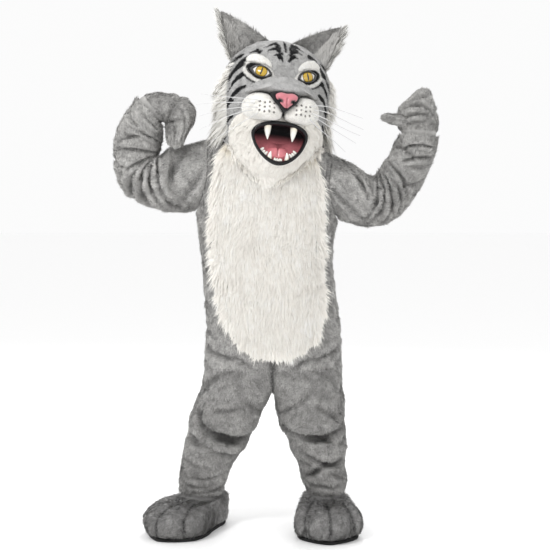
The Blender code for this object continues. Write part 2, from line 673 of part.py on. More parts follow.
def folds(table, turn, place):
    """How far the folds move a sleeve or leg section in or out."""
    total = np.zeros(np.broadcast(turn, place).shape)
    for row in table:
        at, half, front, back = row[:4]
        slant = row[4] if len(row) > 4 else 0.0
        shift = slant * np.cos(turn)
        ridge = np.exp(-((place - at - shift) / half) ** 2)
        side = np.sin(turn)
        total += ridge * np.where(side > 0.0, front * side, -back * side)
    return total


def armhole(sign, turn):
    """A point on the armhole's edge and its outward normal; turn 0 is the shoulder point."""
    shrink = 1.0 - ARMHOLE_GAP / 0.11
    height = ARM_Z + ARM_HALF_Z * shrink * np.cos(turn)
    around = sign * (math.pi / 2 - ARM_HALF_TURN * shrink * np.sin(turn))
    return torso_point(around, height), outward(torso_point, around, height)


def sleeve_grid(sign, table, fold_table, turn, place):
    """Outer points of a sleeve over grids of turns and places."""
    edge, _ = armhole(sign, turn)
    ring = sleeve_ring(table, turn, place)
    middle = sleeve_ring(table, np.zeros_like(turn), place) + sleeve_ring(table, turn * 0 + math.pi, place)
    out = unit(ring - middle / 2)
    ring = ring + out * folds(fold_table, turn, place)[..., None]
    share = ease(place / SLEEVE_JOIN)[..., None]
    return edge * (1.0 - share) + ring * share


def sleeve(side, sign, table, fold_table):
    turn, place = np.meshgrid(ring_turns(SIDES), np.array(SLEEVE_PLACES))
    outside = sleeve_grid(sign, table, fold_table, turn, place)
    into = grid_inward(outside)
    into[0] = -armhole(sign, turn[0])[1]
    into[1] = unit(into[0] * 0.4 + into[1] * 0.6)
    inside = outside + into * PLUSH
    wall("sleeve_" + side, outside, inside, "grey_plush", ring=True)
    return inside


def leg_top(sign, count):
    """The leg's first ring: half of the hip seam, then the crotch seam; with inward vectors."""
    steps = np.arange(count)
    side_steps = (count - CROTCH_STEPS) // 2
    hip = (steps <= side_steps) | (steps >= count - side_steps)
    signed = np.where(steps > count // 2, steps - count, steps)
    around = sign * (math.pi / 2 - signed / side_steps * math.pi / 2)
    edge = math.pi / 2 * 1e-9
    around = np.clip(around, edge, math.pi - edge) if sign > 0 else np.clip(around, -math.pi + edge, -edge)
    height = np.full(count, HEM_Z)
    top = torso_point(around, height)
    top[:, 2] = HEM_Z - SEAM
    into = -outward(torso_point, around, height)
    into[:, 2] = 0.0
    into = unit(into)
    front, back = smooth(TORSO, HEM_Z)[2:4]
    part = np.clip((steps - side_steps) / CROTCH_STEPS, 0.0, 1.0) * math.pi
    y = np.where(np.cos(part) > 0, -front, back) * np.abs(np.cos(part))
    z = HEM_Z - SEAM - CROTCH_DROP * np.sin(part)
    seat = np.stack([np.full(count, sign * SEAM / 2), y, z], axis=-1)
    seat_in = np.stack([np.zeros(count), -y / 0.17 ** 2, (HEM_Z - z) / CROTCH_DROP ** 2], axis=-1)
    on_hip = hip[:, None]
    top = np.where(on_hip, top, seat)
    ends = (steps == side_steps) | (steps == count - side_steps)
    top[ends, 0] = sign * SEAM / 2
    return top, np.where(on_hip, into, unit(seat_in))


def leg_ring(table, turn, place):
    """A leg's own section; turn 0 is the outer side, a quarter turn the front."""
    far_x, far_z, near_x, near_z, middle_y, depth = np.moveaxis(smooth(table, place), -1, 0)
    swing = np.sign(np.cos(turn)) * np.abs(np.cos(turn)) ** 0.92
    lift = np.sign(np.sin(turn)) * np.abs(np.sin(turn)) ** 0.92
    x = (near_x + far_x) / 2 + (far_x - near_x) / 2 * swing
    z = (near_z + far_z) / 2 + (far_z - near_z) / 2 * swing
    return np.stack([x, middle_y - depth * lift, z], axis=-1)


def leg_grid(top, table, fold_table, turn, place):
    ring = leg_ring(table, turn, place)
    middle = (leg_ring(table, turn * 0, place) + leg_ring(table, turn * 0 + math.pi, place)) / 2
    out = unit(ring - middle)
    ring = ring + out * folds(fold_table, turn, place)[..., None]
    share = ease(place / LEG_JOIN)[..., None]
    return top * (1.0 - share) + ring * share


def leg(side, sign, table, fold_table):
    turn, place = np.meshgrid(ring_turns(SIDES), np.array(LEG_PLACES))
    top, top_in = leg_top(sign, SIDES)
    outside = leg_grid(top[None], table, fold_table, turn, place)
    into = grid_inward(outside)
    into[0] = top_in
    into[1] = unit(top_in * 0.4 + into[1] * 0.6)
    inside = outside + into * PLUSH
    wall("leg_" + side, outside, inside, "grey_plush", ring=True)
    return inside


def tucked(inside, places, start, gap):
    """Rows of a hollow's inner face, shrunk by a gap, from a place along it to its end."""
    rows = np.array(places) >= start - 1e-6
    ring = inside[rows]
    middle = ring.mean(axis=1, keepdims=True)
    return ring + unit(middle - ring) * gap


def past_end(rows):
    """One more ring just past the last of a tucked collar, clear of the edge it comes out of."""
    along = unit(rows[-1].mean(axis=0) - rows[-2].mean(axis=0))
    middle = rows[-1].mean(axis=0)
    return (rows[-1] + along * COLLAR_CLEAR + unit(middle - rows[-1]) * CUFF_GAP)[None]


def mitt(side, table, sleeve_inside):
    turn, place = np.meshgrid(ring_turns(SIDES), np.array(MITT_PLACES))
    hand = sleeve_ring(table, turn, place)
    cuff = tucked(sleeve_inside, SLEEVE_PLACES, MITT_TUCK, CUFF_GAP)
    outside = np.concatenate([cuff, past_end(cuff), hand], axis=0)
    tip = outside[-1].mean(axis=0)
    tip = tip + unit(tip - outside[-2].mean(axis=0)) * 0.008
    outside = np.concatenate([outside, np.repeat(tip[None, None], SIDES, axis=1)], axis=0)
    into = grid_inward(outside[:-1])
    inner = outside[:-1] + into * (PLUSH - 0.001)
    inner_tip = inner[-1].mean(axis=0) + unit(inner[-1].mean(axis=0) - inner[-2].mean(axis=0)) * 0.001
    inner = np.concatenate([inner, np.repeat(inner_tip[None, None], SIDES, axis=1)], axis=0)
    return wall("mitt_" + side, outside, inner, "grey_plush", ring=True, tip=True)


def thumb():
    """The left mitt's thumb, stuffed, sewn to the palm side of the hand."""
    turns = ring_turns(THUMB_SIDES)

    def on_hand(share):
        turn = THUMB_TURN + THUMB_HALF_TURN * np.cos(turns) * share
        place = THUMB_PLACE + THUMB_HALF_PLACE * np.sin(turns) * share
        ring = sleeve_ring(MITT_LEFT, turn, place)
        near = sleeve_ring(MITT_LEFT, np.zeros(len(turn)), place)
        far = sleeve_ring(MITT_LEFT, np.full(len(turn), math.pi), place)
        middle = (near + far) / 2
        return ring + unit(ring - middle) * THUMB_SEAT

    root = on_hand(1.0)
    tip = np.array(THUMB_TIP)
    centre = root.mean(axis=0)
    way = unit(tip - centre)
    rings = [on_hand(0.5), root]
    for part, size in THUMB_RINGS:
        ring = root - centre
        ring = ring - (ring @ way)[:, None] * way * min(1.0, part * 2)
        rings.append(centre + (tip - centre) * part + ring * size)
    points = list(np.concatenate(rings)) + [tip, on_hand(0.0)[0]]
    count, last = THUMB_SIDES, len(rings) - 1
    faces = []
    for step in range(count):
        after = (step + 1) % count
        faces.append((step, after, len(points) - 1))
        faces.append((last * count + step, last * count + after, len(points) - 2))
        for ring in range(last):
            faces.append((ring * count + step, ring * count + after,
                          (ring + 1) * count + after, (ring + 1) * count + step))
    add_object("thumb_left", points, faces, "grey_plush")


def swept(name, profile, origin, first, second, sweep, half, colour):
    """A flat profile in two axes, swept both ways along a third."""
    count = len(profile)
    flat = np.array([origin + first * a + second * b for a, b in profile])
    points = np.concatenate([flat - sweep * half, flat + sweep * half])
    faces = [tuple(range(count)), tuple(range(count, 2 * count))]
    for step in range(count):
        after = (step + 1) % count
        faces.append((step, after, count + after, count + step))
    return add_object(name, points, faces, colour)


def zip_hardware():
    """The slider, closed at the top of the chain, and its pull tab, hanging from a barrel."""
    out = outward(torso_point, np.array([math.pi]), np.array([SLIDER_Z]))[0]
    out[0] = 0.0
    out = unit(out)
    down = np.array((0.0, out[2], -out[1]))
    seat = torso_point(np.array([math.pi]), np.array([SLIDER_Z]))[0]
    seat = seat + out * (CHAIN_RISE - TAPE_SINK + SLIDER_SEAT)
    wide = np.array((1.0, 0.0, 0.0))
    half, ear, plate, tall = SLIDER_HALF, SLIDER_EAR, SLIDER_PLATE, SLIDER_TALL
    channel = ((-half, 0.0), (half, 0.0), (half, tall), (half - ear, tall), (half - ear, plate),
               (ear - half, plate), (ear - half, tall), (-half, tall))
    swept("zip_slider", channel, seat, wide, out, down, SLIDER_LONG / 2, "metal")
    pivot = seat + out * (plate + BARREL_CLEAR + BARREL_RADIUS)
    start = math.asin(TAB_HALF_THICK / BARREL_RADIUS)
    arc = np.linspace(start, 2 * math.pi - start, 9)
    profile = [(BARREL_RADIUS * math.cos(angle), BARREL_RADIUS * math.sin(angle)) for angle in arc]
    profile += [(TAB_LONG, -TAB_HALF_THICK), (TAB_LONG + TAB_HALF_THICK, 0.0), (TAB_LONG, TAB_HALF_THICK)]
    swept("zip_pull", profile, pivot, down, out, wide, TAB_HALF, "metal")


def foot_ring(turn, height, sign, ankle, yaw):
    """A foot cover's section; turn 0 is the leg's outer side, a quarter turn the front."""
    ahead, behind, toe_half, heel_half = np.moveaxis(smooth(FOOT, height), -1, 0)
    world = np.stack([sign * np.cos(turn), -np.sin(turn)], axis=-1)
    forward = np.array([math.sin(yaw), -math.cos(yaw)])
    sideways = np.array([math.cos(yaw), math.sin(yaw)])
    f = world @ forward
    s = world @ sideways
    angle = np.arctan2(s, f)
    toes = 1.0 - 0.05 * np.abs(np.sin(2.0 * angle * 1.9)) * (np.cos(angle) > 0.2)
    reach = np.where(f > 0, ahead, behind) * np.sign(f) * np.abs(f) ** 0.85 * toes
    width = heel_half + (toe_half - heel_half) * ease((f + 0.15) / 0.85)
    across = width * np.sign(s) * np.abs(s) ** 0.85
    flat = ankle + reach[..., None] * forward + across[..., None] * sideways
    return np.concatenate([flat, (FLOOR + SOLE_THICK + SEAM + height)[..., None]], axis=-1)


def foot(side, x, y, degrees, leg_inside):
    sign = 1.0 if x > 0 else -1.0
    yaw = math.radians(degrees)
    ankle = np.array([x, y])
    turn, height = np.meshgrid(ring_turns(SIDES), np.array(FOOT_HEIGHTS))
    shell = foot_ring(turn, height, sign, ankle, yaw)
    collar = tucked(leg_inside, LEG_PLACES, FOOT_TUCK, ANKLE_GAP)
    collar = np.concatenate([collar, past_end(collar)])[::-1]
    outside = np.concatenate([shell, collar], axis=0)
    into = grid_inward(outside)
    into[0, :, 2] = 0.0
    into[0] = unit(into[0])
    inner = outside + into * (PLUSH - 0.001)
    wall("foot_" + side, outside, inner, "dark_plush", ring=True)
    outline = foot_ring(ring_turns(SIDES), np.zeros(SIDES), sign, ankle, yaw)
    top = outline.copy()
    top[:, 2] = FLOOR + SOLE_THICK
    low = outline.copy()
    low[:, 2] = FLOOR
    points = np.concatenate([top, low])
    faces = [tuple(range(SIDES)), tuple(range(SIDES, 2 * SIDES))]
    for step in range(SIDES):
        after = (step + 1) % SIDES
        faces.append((step, after, SIDES + after, SIDES + step))
    add_object("sole_" + side, points, faces, "black_sole")


# Head


def head_frame():
    """The head's axes: turned to its left and rolled down on that side."""
    turn_c, turn_s = math.cos(HEAD_TURN), math.sin(HEAD_TURN)
    roll_c, roll_s = math.cos(HEAD_ROLL), math.sin(HEAD_ROLL)
    turn = np.array(((turn_c, -turn_s, 0.0), (turn_s, turn_c, 0.0), (0.0, 0.0, 1.0)))
    roll = np.array(((roll_c, 0.0, roll_s), (0.0, 1.0, 0.0), (-roll_s, 0.0, roll_c)))
    return turn @ roll


HEAD_AXES = head_frame()


def from_head(points):
    """Points of the head's own frame, placed in the world."""
    return np.asarray(points, float) @ HEAD_AXES.T + HEAD_PIVOT


def into_head(points):
    return (np.asarray(points, float) - HEAD_PIVOT) @ HEAD_AXES


def head_form(turn, height):
    """A point of the head's outside in its own frame."""
    half, front, back, power = np.moveaxis(smooth(HEAD, height), -1, 0)
    x, y = section(turn, 0.0, half, front, back, power)
    return np.stack([x, y, height + 0.0 * x], axis=-1)


def suit_round(angle, height):
    """A point of the body suit's outside at a true angle from the front, about the suit's middle."""
    right, left, front, back, power = np.moveaxis(smooth(TORSO, height), -1, 0)
    side, ahead = np.sin(angle), np.cos(angle)
    reach = np.where(ahead > 0.0, front, back)
    size = (np.abs(side) * 2 / (left - right)) ** power + (np.abs(ahead) / reach) ** power
    x = (left + right) / 2 + side * size ** (-1.0 / power)
    lean = SHOULDER_LEAN * ease((height - LEAN_FROM) / (LEAN_TO - LEAN_FROM))
    return np.stack([x, -ahead * size ** (-1.0 / power), height + lean * x], axis=-1)


def rim_angle(turn):
    """Where a turn of the head lies round the suit."""
    form = from_head(head_form(turn, 0.0 * turn))
    return np.arctan2(form[..., 0], -form[..., 1])


def rim_height(turn):
    """Height on the body suit where the neck skirt rests."""
    return smooth(RIM, np.degrees(np.abs(rim_angle(turn))))[..., 0]


def over_belly(angle):
    """How far the belly panel stands out of the suit at an angle from the front."""
    return (BELLY_RISE + 0.0015) * (1.0 - ease((np.degrees(np.abs(angle)) - 60.0) / 12.0))


def rim_point(turn, lift):
    angle, height = rim_angle(turn), rim_height(turn)
    out = outward(suit_round, angle, height)
    near = RIM_LIFT - RIM_DIP * (1.0 - ease(np.abs(angle) / RIM_DIP_TURN))
    return suit_round(angle, height) + out * (near + over_belly(angle) + lift)[..., None]


def clear_of_suit(points, gap):
    """Points moved level and outwards where they would come nearer to the suit than a gap."""
    height = points[..., 2]
    for _ in range(3):
        lean = SHOULDER_LEAN * ease((height - LEAN_FROM) / (LEAN_TO - LEAN_FROM))
        height = points[..., 2] - lean * points[..., 0]
    right, left, front, back, power = np.moveaxis(smooth(TORSO, np.minimum(height, NECK_Z)), -1, 0)
    x, y = points[..., 0] - (left + right) / 2, points[..., 1]
    reach = np.where(y < 0.0, front, back)
    size = ((np.abs(x) * 2 / (left - right)) ** power + (np.abs(y) / reach) ** power) ** (1.0 / power)
    radius = np.hypot(x, y)
    rise = over_belly(np.arctan2(x, -y)) * ease((0.045 - height) / 0.06)
    push = np.maximum(radius / size + gap + rise - radius, 0.0) * (height < NECK_Z)
    moved = points.copy()
    moved[..., 0] += x / radius * push
    moved[..., 1] += y / radius * push
    return moved


def head_point(turn, part):
    """A point of the head's outside; part runs from 0 at the neck rim to 1 at the crown."""
    low = rim_height(turn) - HEAD_PIVOT[2]
    height = low + part * (HEAD_TOP - low)
    form = clear_of_suit(from_head(head_form(turn, height)), RIM_LIFT + HEAD_WALL + 0.003)
    rim = rim_point(turn, HEAD_WALL + 0.0 * turn)
    share = settle(part / SKIRT_SHARE)[..., None]
    return rim * (1.0 - share) + form * share


def head_wall(name, turn, part, colour, ring=False, top=None):
    """A head panel over grids of turns and parts, with an optional closing point at the crown."""
    outside = head_point(turn, part)
    into = -outward(head_point, turn, part, height_step=0.01)
    share = settle(part / (0.6 * SKIRT_SHARE))[..., None]
    inside = rim_point(turn, 0.0 * turn) * (1.0 - share) + (outside + into * HEAD_WALL) * share
    inside = np.where(part[..., None] > 0.0, clear_of_suit(inside, RIM_LIFT + 0.002), inside)
    if top is not None:
        count = turn.shape[1]
        outside = np.concatenate([outside, np.repeat(top[None, None], count, axis=1)])
        low = top - HEAD_AXES[:, 2] * HEAD_WALL
        inside = np.concatenate([inside, np.repeat(low[None, None], count, axis=1)])
    return wall(name, outside, inside, colour, ring=ring, tip=top is not None)


def chin_edge_part(turn):
    away = np.degrees(np.abs((turn + math.pi) % (2 * math.pi) - math.pi))
    height = smooth(CHIN_EDGE, away)[..., 0]
    low = rim_height(turn) - HEAD_PIVOT[2]
    return (height - low) / (HEAD_TOP - low)


def back_grid():
    """Turns and parts of the head's back panel, from its left seam round to its right seam.

    Its rows meet the rows of the bib and the face at both seams.
    """
    half = np.radians(BACK_HALF_TURNS)
    turns = np.concatenate([half, [math.pi], 2 * math.pi - half[::-1]])
    ends = []
    for turn in (turns[0], turns[-1]):
        edge = chin_edge_part(np.array([turn]))[0]
        face = edge + (CROWN_PART - edge) * np.array(FACE_STEPS)
        ends.append(np.concatenate([edge * np.array(CHIN_STEPS), face[1:]]))
    over = np.linspace(0.0, 1.0, len(turns))
    parts = ends[0][:, None] * (1.0 - over) + ends[1][:, None] * over
    return np.repeat(turns[None], len(parts), axis=0), parts


def head_shell():
    side = math.radians(FACE_HALF_TURN)
    seam = SEAM / 2 / 0.16
    face_turns = np.linspace(-side, side, 11)
    face_inner = face_turns.copy()
    face_inner[0] += seam
    face_inner[-1] -= seam
    behind, rows = back_grid()
    behind[:, 0] += seam
    behind[:, -1] -= seam
    edge = chin_edge_part(face_turns)
    gap = SEAM / 2 / 0.40
    chin = edge * np.array(CHIN_STEPS)[:, None]
    chin[-1] -= gap
    head_wall("chin_bib", np.repeat(face_inner[None], len(chin), axis=0), chin, "white_fur")
    face = edge + (CROWN_PART - edge) * np.array(FACE_STEPS)[:, None]
    face[0] += gap
    face[-1] = CROWN_PART - gap
    head_wall("head_face", np.repeat(face_inner[None], len(face), axis=0), face, "grey_plush")
    rows[-1] -= gap
    head_wall("head_back", behind, rows, "grey_plush")
    crown_turns = np.concatenate([face_turns, behind[0, 1:-1]])
    rows = np.array(CROWN_PARTS)[:, None] + np.zeros((1, len(crown_turns)))
    rows[0] += gap
    top = from_head((0.0, 0.0, HEAD_TOP + 0.002))
    head_wall("head_crown", np.repeat(crown_turns[None], len(CROWN_PARTS), axis=0), rows,
              "grey_plush", ring=True, top=top)


def mouth_outline(angle, inset):
    """x and height of the mouth's edge in the head's frame, moved inwards by inset."""
    middle = (MOUTH_TOP + MOUTH_BOTTOM) / 2
    tall = (MOUTH_TOP - MOUTH_BOTTOM) / 2 - inset
    rise = np.sign(np.sin(angle)) * np.abs(np.sin(angle)) ** 0.8
    taper = 1.0 - MOUTH_TAPER * (1.0 - rise) / 2
    x = (MOUTH_HALF - inset) * np.cos(angle) * taper
    return x, middle + tall * rise


def prism(name, outline, near, far):
    """A cutter: an outline in the head's frame, swept from near to far along y."""
    count = len(outline)
    points = [(x, near, h) for x, h in outline] + [(x, far, h) for x, h in outline]
    faces = [tuple(range(count)), tuple(range(count, 2 * count))]
    for step in range(count):
        after = (step + 1) % count
        faces.append((step, after, count + after, count + step))
    cutter = add_object(name, from_head(points), faces, "grey_plush")
    cutter.hide_render = True
    cutter.display_type = "WIRE"
    return cutter


def cut(thing, cutter):
    boolean = thing.modifiers.new("cut", "BOOLEAN")
    boolean.operation = "DIFFERENCE"
    boolean.solver = "EXACT"
    boolean.object = cutter


def face_tree(names):
    """The face's outside as a search tree in the head's frame."""
    points, faces = [], []
    for name in names:
        mesh = bpy.data.objects[name].data
        shift = len(points)
        mesh.calc_loop_triangles()
        points += [Vector(into_head(vertex.co)) for vertex in mesh.vertices]
        faces += [tuple(index + shift for index in face.vertices) for face in mesh.loop_triangles]
    return BVHTree.FromPolygons(points, faces)


def face_depth(x, height):
    """How far back the face lies at a place seen from the front, in the head's frame."""
    hit = FACE.ray_cast(Vector((x, -0.6, height)), Vector((0.0, 1.0, 0.0)))
    return hit[0].y


def relief(name, outline, centre, rise, colour, rings=(1.0, 0.72, 0.4), round_off=2.2):
    """A padded piece on the face: an outline seen from the front, raised towards the front.

    rise gives the height over the face at a place; round_off shapes the shoulder.
    """
    centre = np.array(centre)
    outline = np.array(outline)
    count = len(outline)
    low, high = [], []
    for share in rings + (0.0,):
        ring = centre + (outline - centre) * share
        dome = (1.0 - share ** round_off) ** 0.5 if share < 1.0 else 0.0
        for x, height in (ring if share else ring[:1]):
            depth = face_depth(x, height)
            low.append((x, depth, height))
            high.append((x, depth - 0.0025 - rise(x, height) * dome, height))
    shift = len(low)
    base, faces = [], []
    for ring in range(len(rings) - 1):
        for step in range(count):
            a, b = ring * count + step, ring * count + (step + 1) % count
            base += [(a, b, b + count), (a, b + count, a + count)]
    last = (len(rings) - 1) * count
    for step in range(count):
        base.append((last + step, last + (step + 1) % count, shift - 1))
        after = (step + 1) % count
        faces += [(step, after, shift + after), (step, shift + after, shift + step)]
    lift = np.array((0.0, clearance(np.array(low), base), 0.0))
    points = np.concatenate([low - lift, high - lift])
    faces += base + [tuple(shift + index for index in face) for face in base]
    return add_object(name, from_head(points), faces, colour)


def clearance(points, faces):
    """How far forward a base must move so that it stands just off the face all over."""
    worst = 0.0
    for face in faces:
        a, b, c = points[list(face)]
        for first in range(CLEARANCE_STEPS + 1):
            for second in range(CLEARANCE_STEPS + 1 - first):
                third = CLEARANCE_STEPS - first - second
                place = (a * first + b * second + c * third) / CLEARANCE_STEPS
                worst = max(worst, place[1] - face_depth(place[0], place[2]))
    return worst + STAND_OFF


def mirrored(outline, side):
    return [(side * x, height) for x, height in outline]


def curve_through(points, steps):
    """A closed smooth outline through a few points."""
    points = np.array(points)
    rows = np.concatenate([points[-2:], points, points[:3]])
    knots = np.arange(len(rows)) - 2.0
    table = np.concatenate([knots[:, None], rows], axis=1)
    at = np.arange(steps) * len(points) / steps
    return smooth(table, at)


def muzzle():
    nose_hole = prism("nose_cutter", curve_through(scaled(NOSE, NOSE_MIDDLE, 1.07), 18), -0.5, -0.1)
    for side, sign in (("left", 1.0), ("right", -1.0)):
        pad = relief("muzzle_" + side, curve_through(mirrored(PAD, sign), 18), (sign * 0.072, 0.144),
                     lambda x, height: PAD_RISE, "white_fur", round_off=2.6)
        cut(pad, nose_hole)
    bridge = relief("nose_bridge", BRIDGE, (0.0, 0.236),
                    lambda x, height: 0.026 + 0.058 * ease((0.255 - height) / 0.06) * (1 - (x / 0.16) ** 2),
                    "grey_plush", rings=(1.0, 0.86, 0.5), round_off=2.8)
    cut(bridge, nose_hole)
    relief("nose", curve_through(NOSE, 16), NOSE_MIDDLE, lambda x, height: 0.094, "pink",
           rings=(1.0, 0.8, 0.4), round_off=6.0)


def scaled(outline, centre, factor):
    centre = np.array(centre)
    return centre + (np.array(outline) - centre) * factor


def loop(name, rows, colour):
    """A closed ring: grid of sections (rows) by points round the section (columns)."""
    count, around = rows.shape[:2]
    points = rows.reshape(-1, 3)
    faces = []
    for row in range(count):
        for column in range(around):
            after, beside = (row + 1) % count, (column + 1) % around
            faces.append((row * around + column, row * around + beside,
                          after * around + beside, after * around + column))
    return add_object(name, points, faces, colour)


def eyes():
    for side, sign in (("left", 1.0), ("right", -1.0)):
        centre = np.array((sign * EYE_X, EYE_HEIGHT))
        angles = ring_turns(14)
        tilt = sign * EYE_TILT

        def oval(half_x, half_h):
            x, height = half_x * np.cos(angles), half_h * np.sin(angles)
            return np.stack([centre[0] + x * math.cos(tilt) - height * math.sin(tilt),
                             centre[1] + x * math.sin(tilt) + height * math.cos(tilt)], axis=-1)

        relief("eye_" + side, oval(EYE_HALF_X, EYE_HALF_H), centre, lambda x, height: 0.007, "eye",
               rings=(1.0, 0.6), round_off=2.0)
        inner, outer = oval(EYE_HALF_X + 0.001, EYE_HALF_H + 0.001), oval(RIM_HALF_X, RIM_HALF_H)
        sections = []
        for (in_x, in_h), (out_x, out_h) in zip(inner, outer):
            near, far = face_depth(in_x, in_h) - SEAT, face_depth(out_x, out_h) - SEAT
            sections.append(((in_x, near, in_h), (in_x, near - 0.006, in_h),
                             ((in_x + out_x) / 2, (near + far) / 2 - 0.010, (in_h + out_h) / 2),
                             (out_x, far - 0.003, out_h), (out_x, far, out_h)))
        sections = np.array(sections) - np.array((0.0, STAND_OFF, 0.0))
        loop("eye_rim_" + side, from_head(sections), "black_rubber")
        brow = curve_through(mirrored(BROW, sign), 14)
        relief("brow_" + side, brow, (sign * 0.096, 0.3165), lambda x, height: 0.007, "white_fur",
               rings=(1.0, 0.6))


def mouth_edge(angle, inset, behind):
    """Points on the mouth's edge in the head's frame, moved in and back from the face."""
    x, height = mouth_outline(angle, inset)
    edge_x, edge_h = mouth_outline(angle, 0.0)
    depth = np.array([face_depth(*place) for place in zip(edge_x * 1.04, edge_h + 0.003 * np.sin(angle))])
    return np.stack([x, depth + behind, height], axis=-1)


def mouth():
    """Lip, lining, tongue and teeth."""
    angles = ring_turns(MOUTH_SIDES)
    edge_x, edge_h = mouth_outline(angles, 0.0)
    hole = prism("mouth_cutter", list(zip(edge_x, edge_h)), -0.5, -0.02)
    cut(bpy.data.objects["chin_bib"], hole)
    sections = np.stack([mouth_edge(angles, inset, behind) for inset, behind in LIP_SECTION], axis=1)
    loop("lip", from_head(sections), "black_rubber")
    lining_rows = []
    for inset, behind, level in LINING:
        row = mouth_edge(angles, inset, behind)
        row[:, 1] = row[:, 1] * (1.0 - level) + smooth(MOUTH_BACK, row[:, 2])[:, 0] * level
        lining_rows.append(row)
    outside = np.array(lining_rows)
    tip = outside[-1].mean(axis=0) + np.array((0.0, 0.004, 0.0))
    into = grid_inward(outside)
    toward = unit(outside.mean(axis=1, keepdims=True) - outside) + np.array((0.0, -1.2, 0.0))
    into = np.where((into * toward).sum(axis=-1, keepdims=True) < 0.0, -into, into)
    into[0, :, 1] = 0.0
    into[0] = unit(into[0])
    inside = outside + into * LINING_THICK
    inside_tip = tip - np.array((0.0, LINING_THICK, 0.0))
    shell_out = np.concatenate([outside, np.repeat(tip[None, None], MOUTH_SIDES, axis=1)])
    shell_in = np.concatenate([inside, np.repeat(inside_tip[None, None], MOUTH_SIDES, axis=1)])
    wall("mouth_lining", from_head(shell_out), from_head(shell_in), "black_rubber", ring=True, tip=True)
    columns = (np.array(TONGUE_COLUMNS)) % MOUTH_SIDES
    bed = inside[1:, columns]
    up = into[1:, columns]
    across = np.sin(np.linspace(0.0, math.pi, len(columns)))[None, :, None]
    along = np.array((0.35, 1.0, 1.0, 0.6))[:, None, None]
    low = bed + up * SEAT
    wall("tongue", from_head(low + up * (0.003 + TONGUE_THICK * across * along)), from_head(low), "pink")
    for name, angle, length, radius in FANGS:
        spike(name, math.radians(angle), length, radius)
    for name, start, end, height in TOOTH_ROWS:
        tooth_row(name, math.radians(start), math.radians(end), height)


def lip_frame(angle):
    """A seat on the lip's inner side and the way from it straight into the mouth."""
    before, seat, after = mouth_edge(angle + np.array((-0.05, 0.0, 0.05)), LIP_WIDE + 0.0007, 0.002)
    inward = np.array((before[2] - after[2], 0.0, after[0] - before[0]))
    return seat, unit(inward)


def spike(name, angle, length, radius):
    """A fang: a tapered, slightly hooked tooth standing on the lip's inner side."""
    seat, inward = lip_frame(angle)
    way = np.array((0.0, 0.0, -1.0 if math.sin(angle) > 0 else 1.0))
    beside = np.cross(inward, BACKWARD)
    hook = np.array((0.0, -0.12 * length, 0.0))

    def middle(part):
        lean = inward * (FANG_SEAT + 0.25 * length * part)
        return seat + lean + way * 0.75 * length * part + hook * part ** 2

    rings = []
    for part in (0.0, 0.35, 0.7, 0.92):
        size = radius * (1.0 - part ** 1.6)
        turns = ring_turns(8)[:, None]
        rings.append(middle(part) + size * (beside * np.cos(turns) + BACKWARD * np.sin(turns)))
    points = list(np.concatenate(rings)) + [middle(1.0)]
    faces = [tuple(range(8))]
    for ring in range(3):
        for step in range(8):
            after = (step + 1) % 8
            faces.append((ring * 8 + step, ring * 8 + after, ring * 8 + 8 + after, ring * 8 + 8 + step))
    for step in range(8):
        faces.append((24 + step, 24 + (step + 1) % 8, 32))
    add_object(name, from_head(points), faces, "tooth")


def tooth_row(name, start, end, height):
    """A short run of small teeth on one root."""
    turns = np.linspace(start, end, 9)
    seats = [lip_frame(turn) for turn in turns]
    root = np.array([seat for seat, _ in seats])
    way = np.array([inward for _, inward in seats])
    tops = height * (1.0 - 0.35 * (np.arange(9) % 2))[:, None]
    tops[[0, -1]] *= 0.6
    front = np.stack([root + way * 0.0004, root + way * (tops * 0.6), root + way * tops])
    thick = np.array((0.0, TOOTH_THICK, 0.0))
    back = front + thick * np.array((1.0, 0.9, 0.55))[:, None, None]
    wall(name, from_head(back), from_head(front), "tooth")


def shell_tree(names):
    points, faces = [], []
    for name in names:
        mesh = bpy.data.objects[name].data
        shift = len(points)
        mesh.calc_loop_triangles()
        points += [vertex.co.copy() for vertex in mesh.vertices]
        faces += [tuple(index + shift for index in face.vertices) for face in mesh.loop_triangles]
    return BVHTree.FromPolygons(points, faces)


def ear_rows(foot_points, tip):
    """Rows of an ear's face from its foot on the head to its tip."""
    middle = foot_points[3]
    rows = []
    for part in EAR_PARTS:
        narrow = max((1.0 - part) ** EAR_POINT, 0.05)
        rows.append(middle * (1 - part) + tip * part + (foot_points - middle) * narrow)
    return np.array(rows)


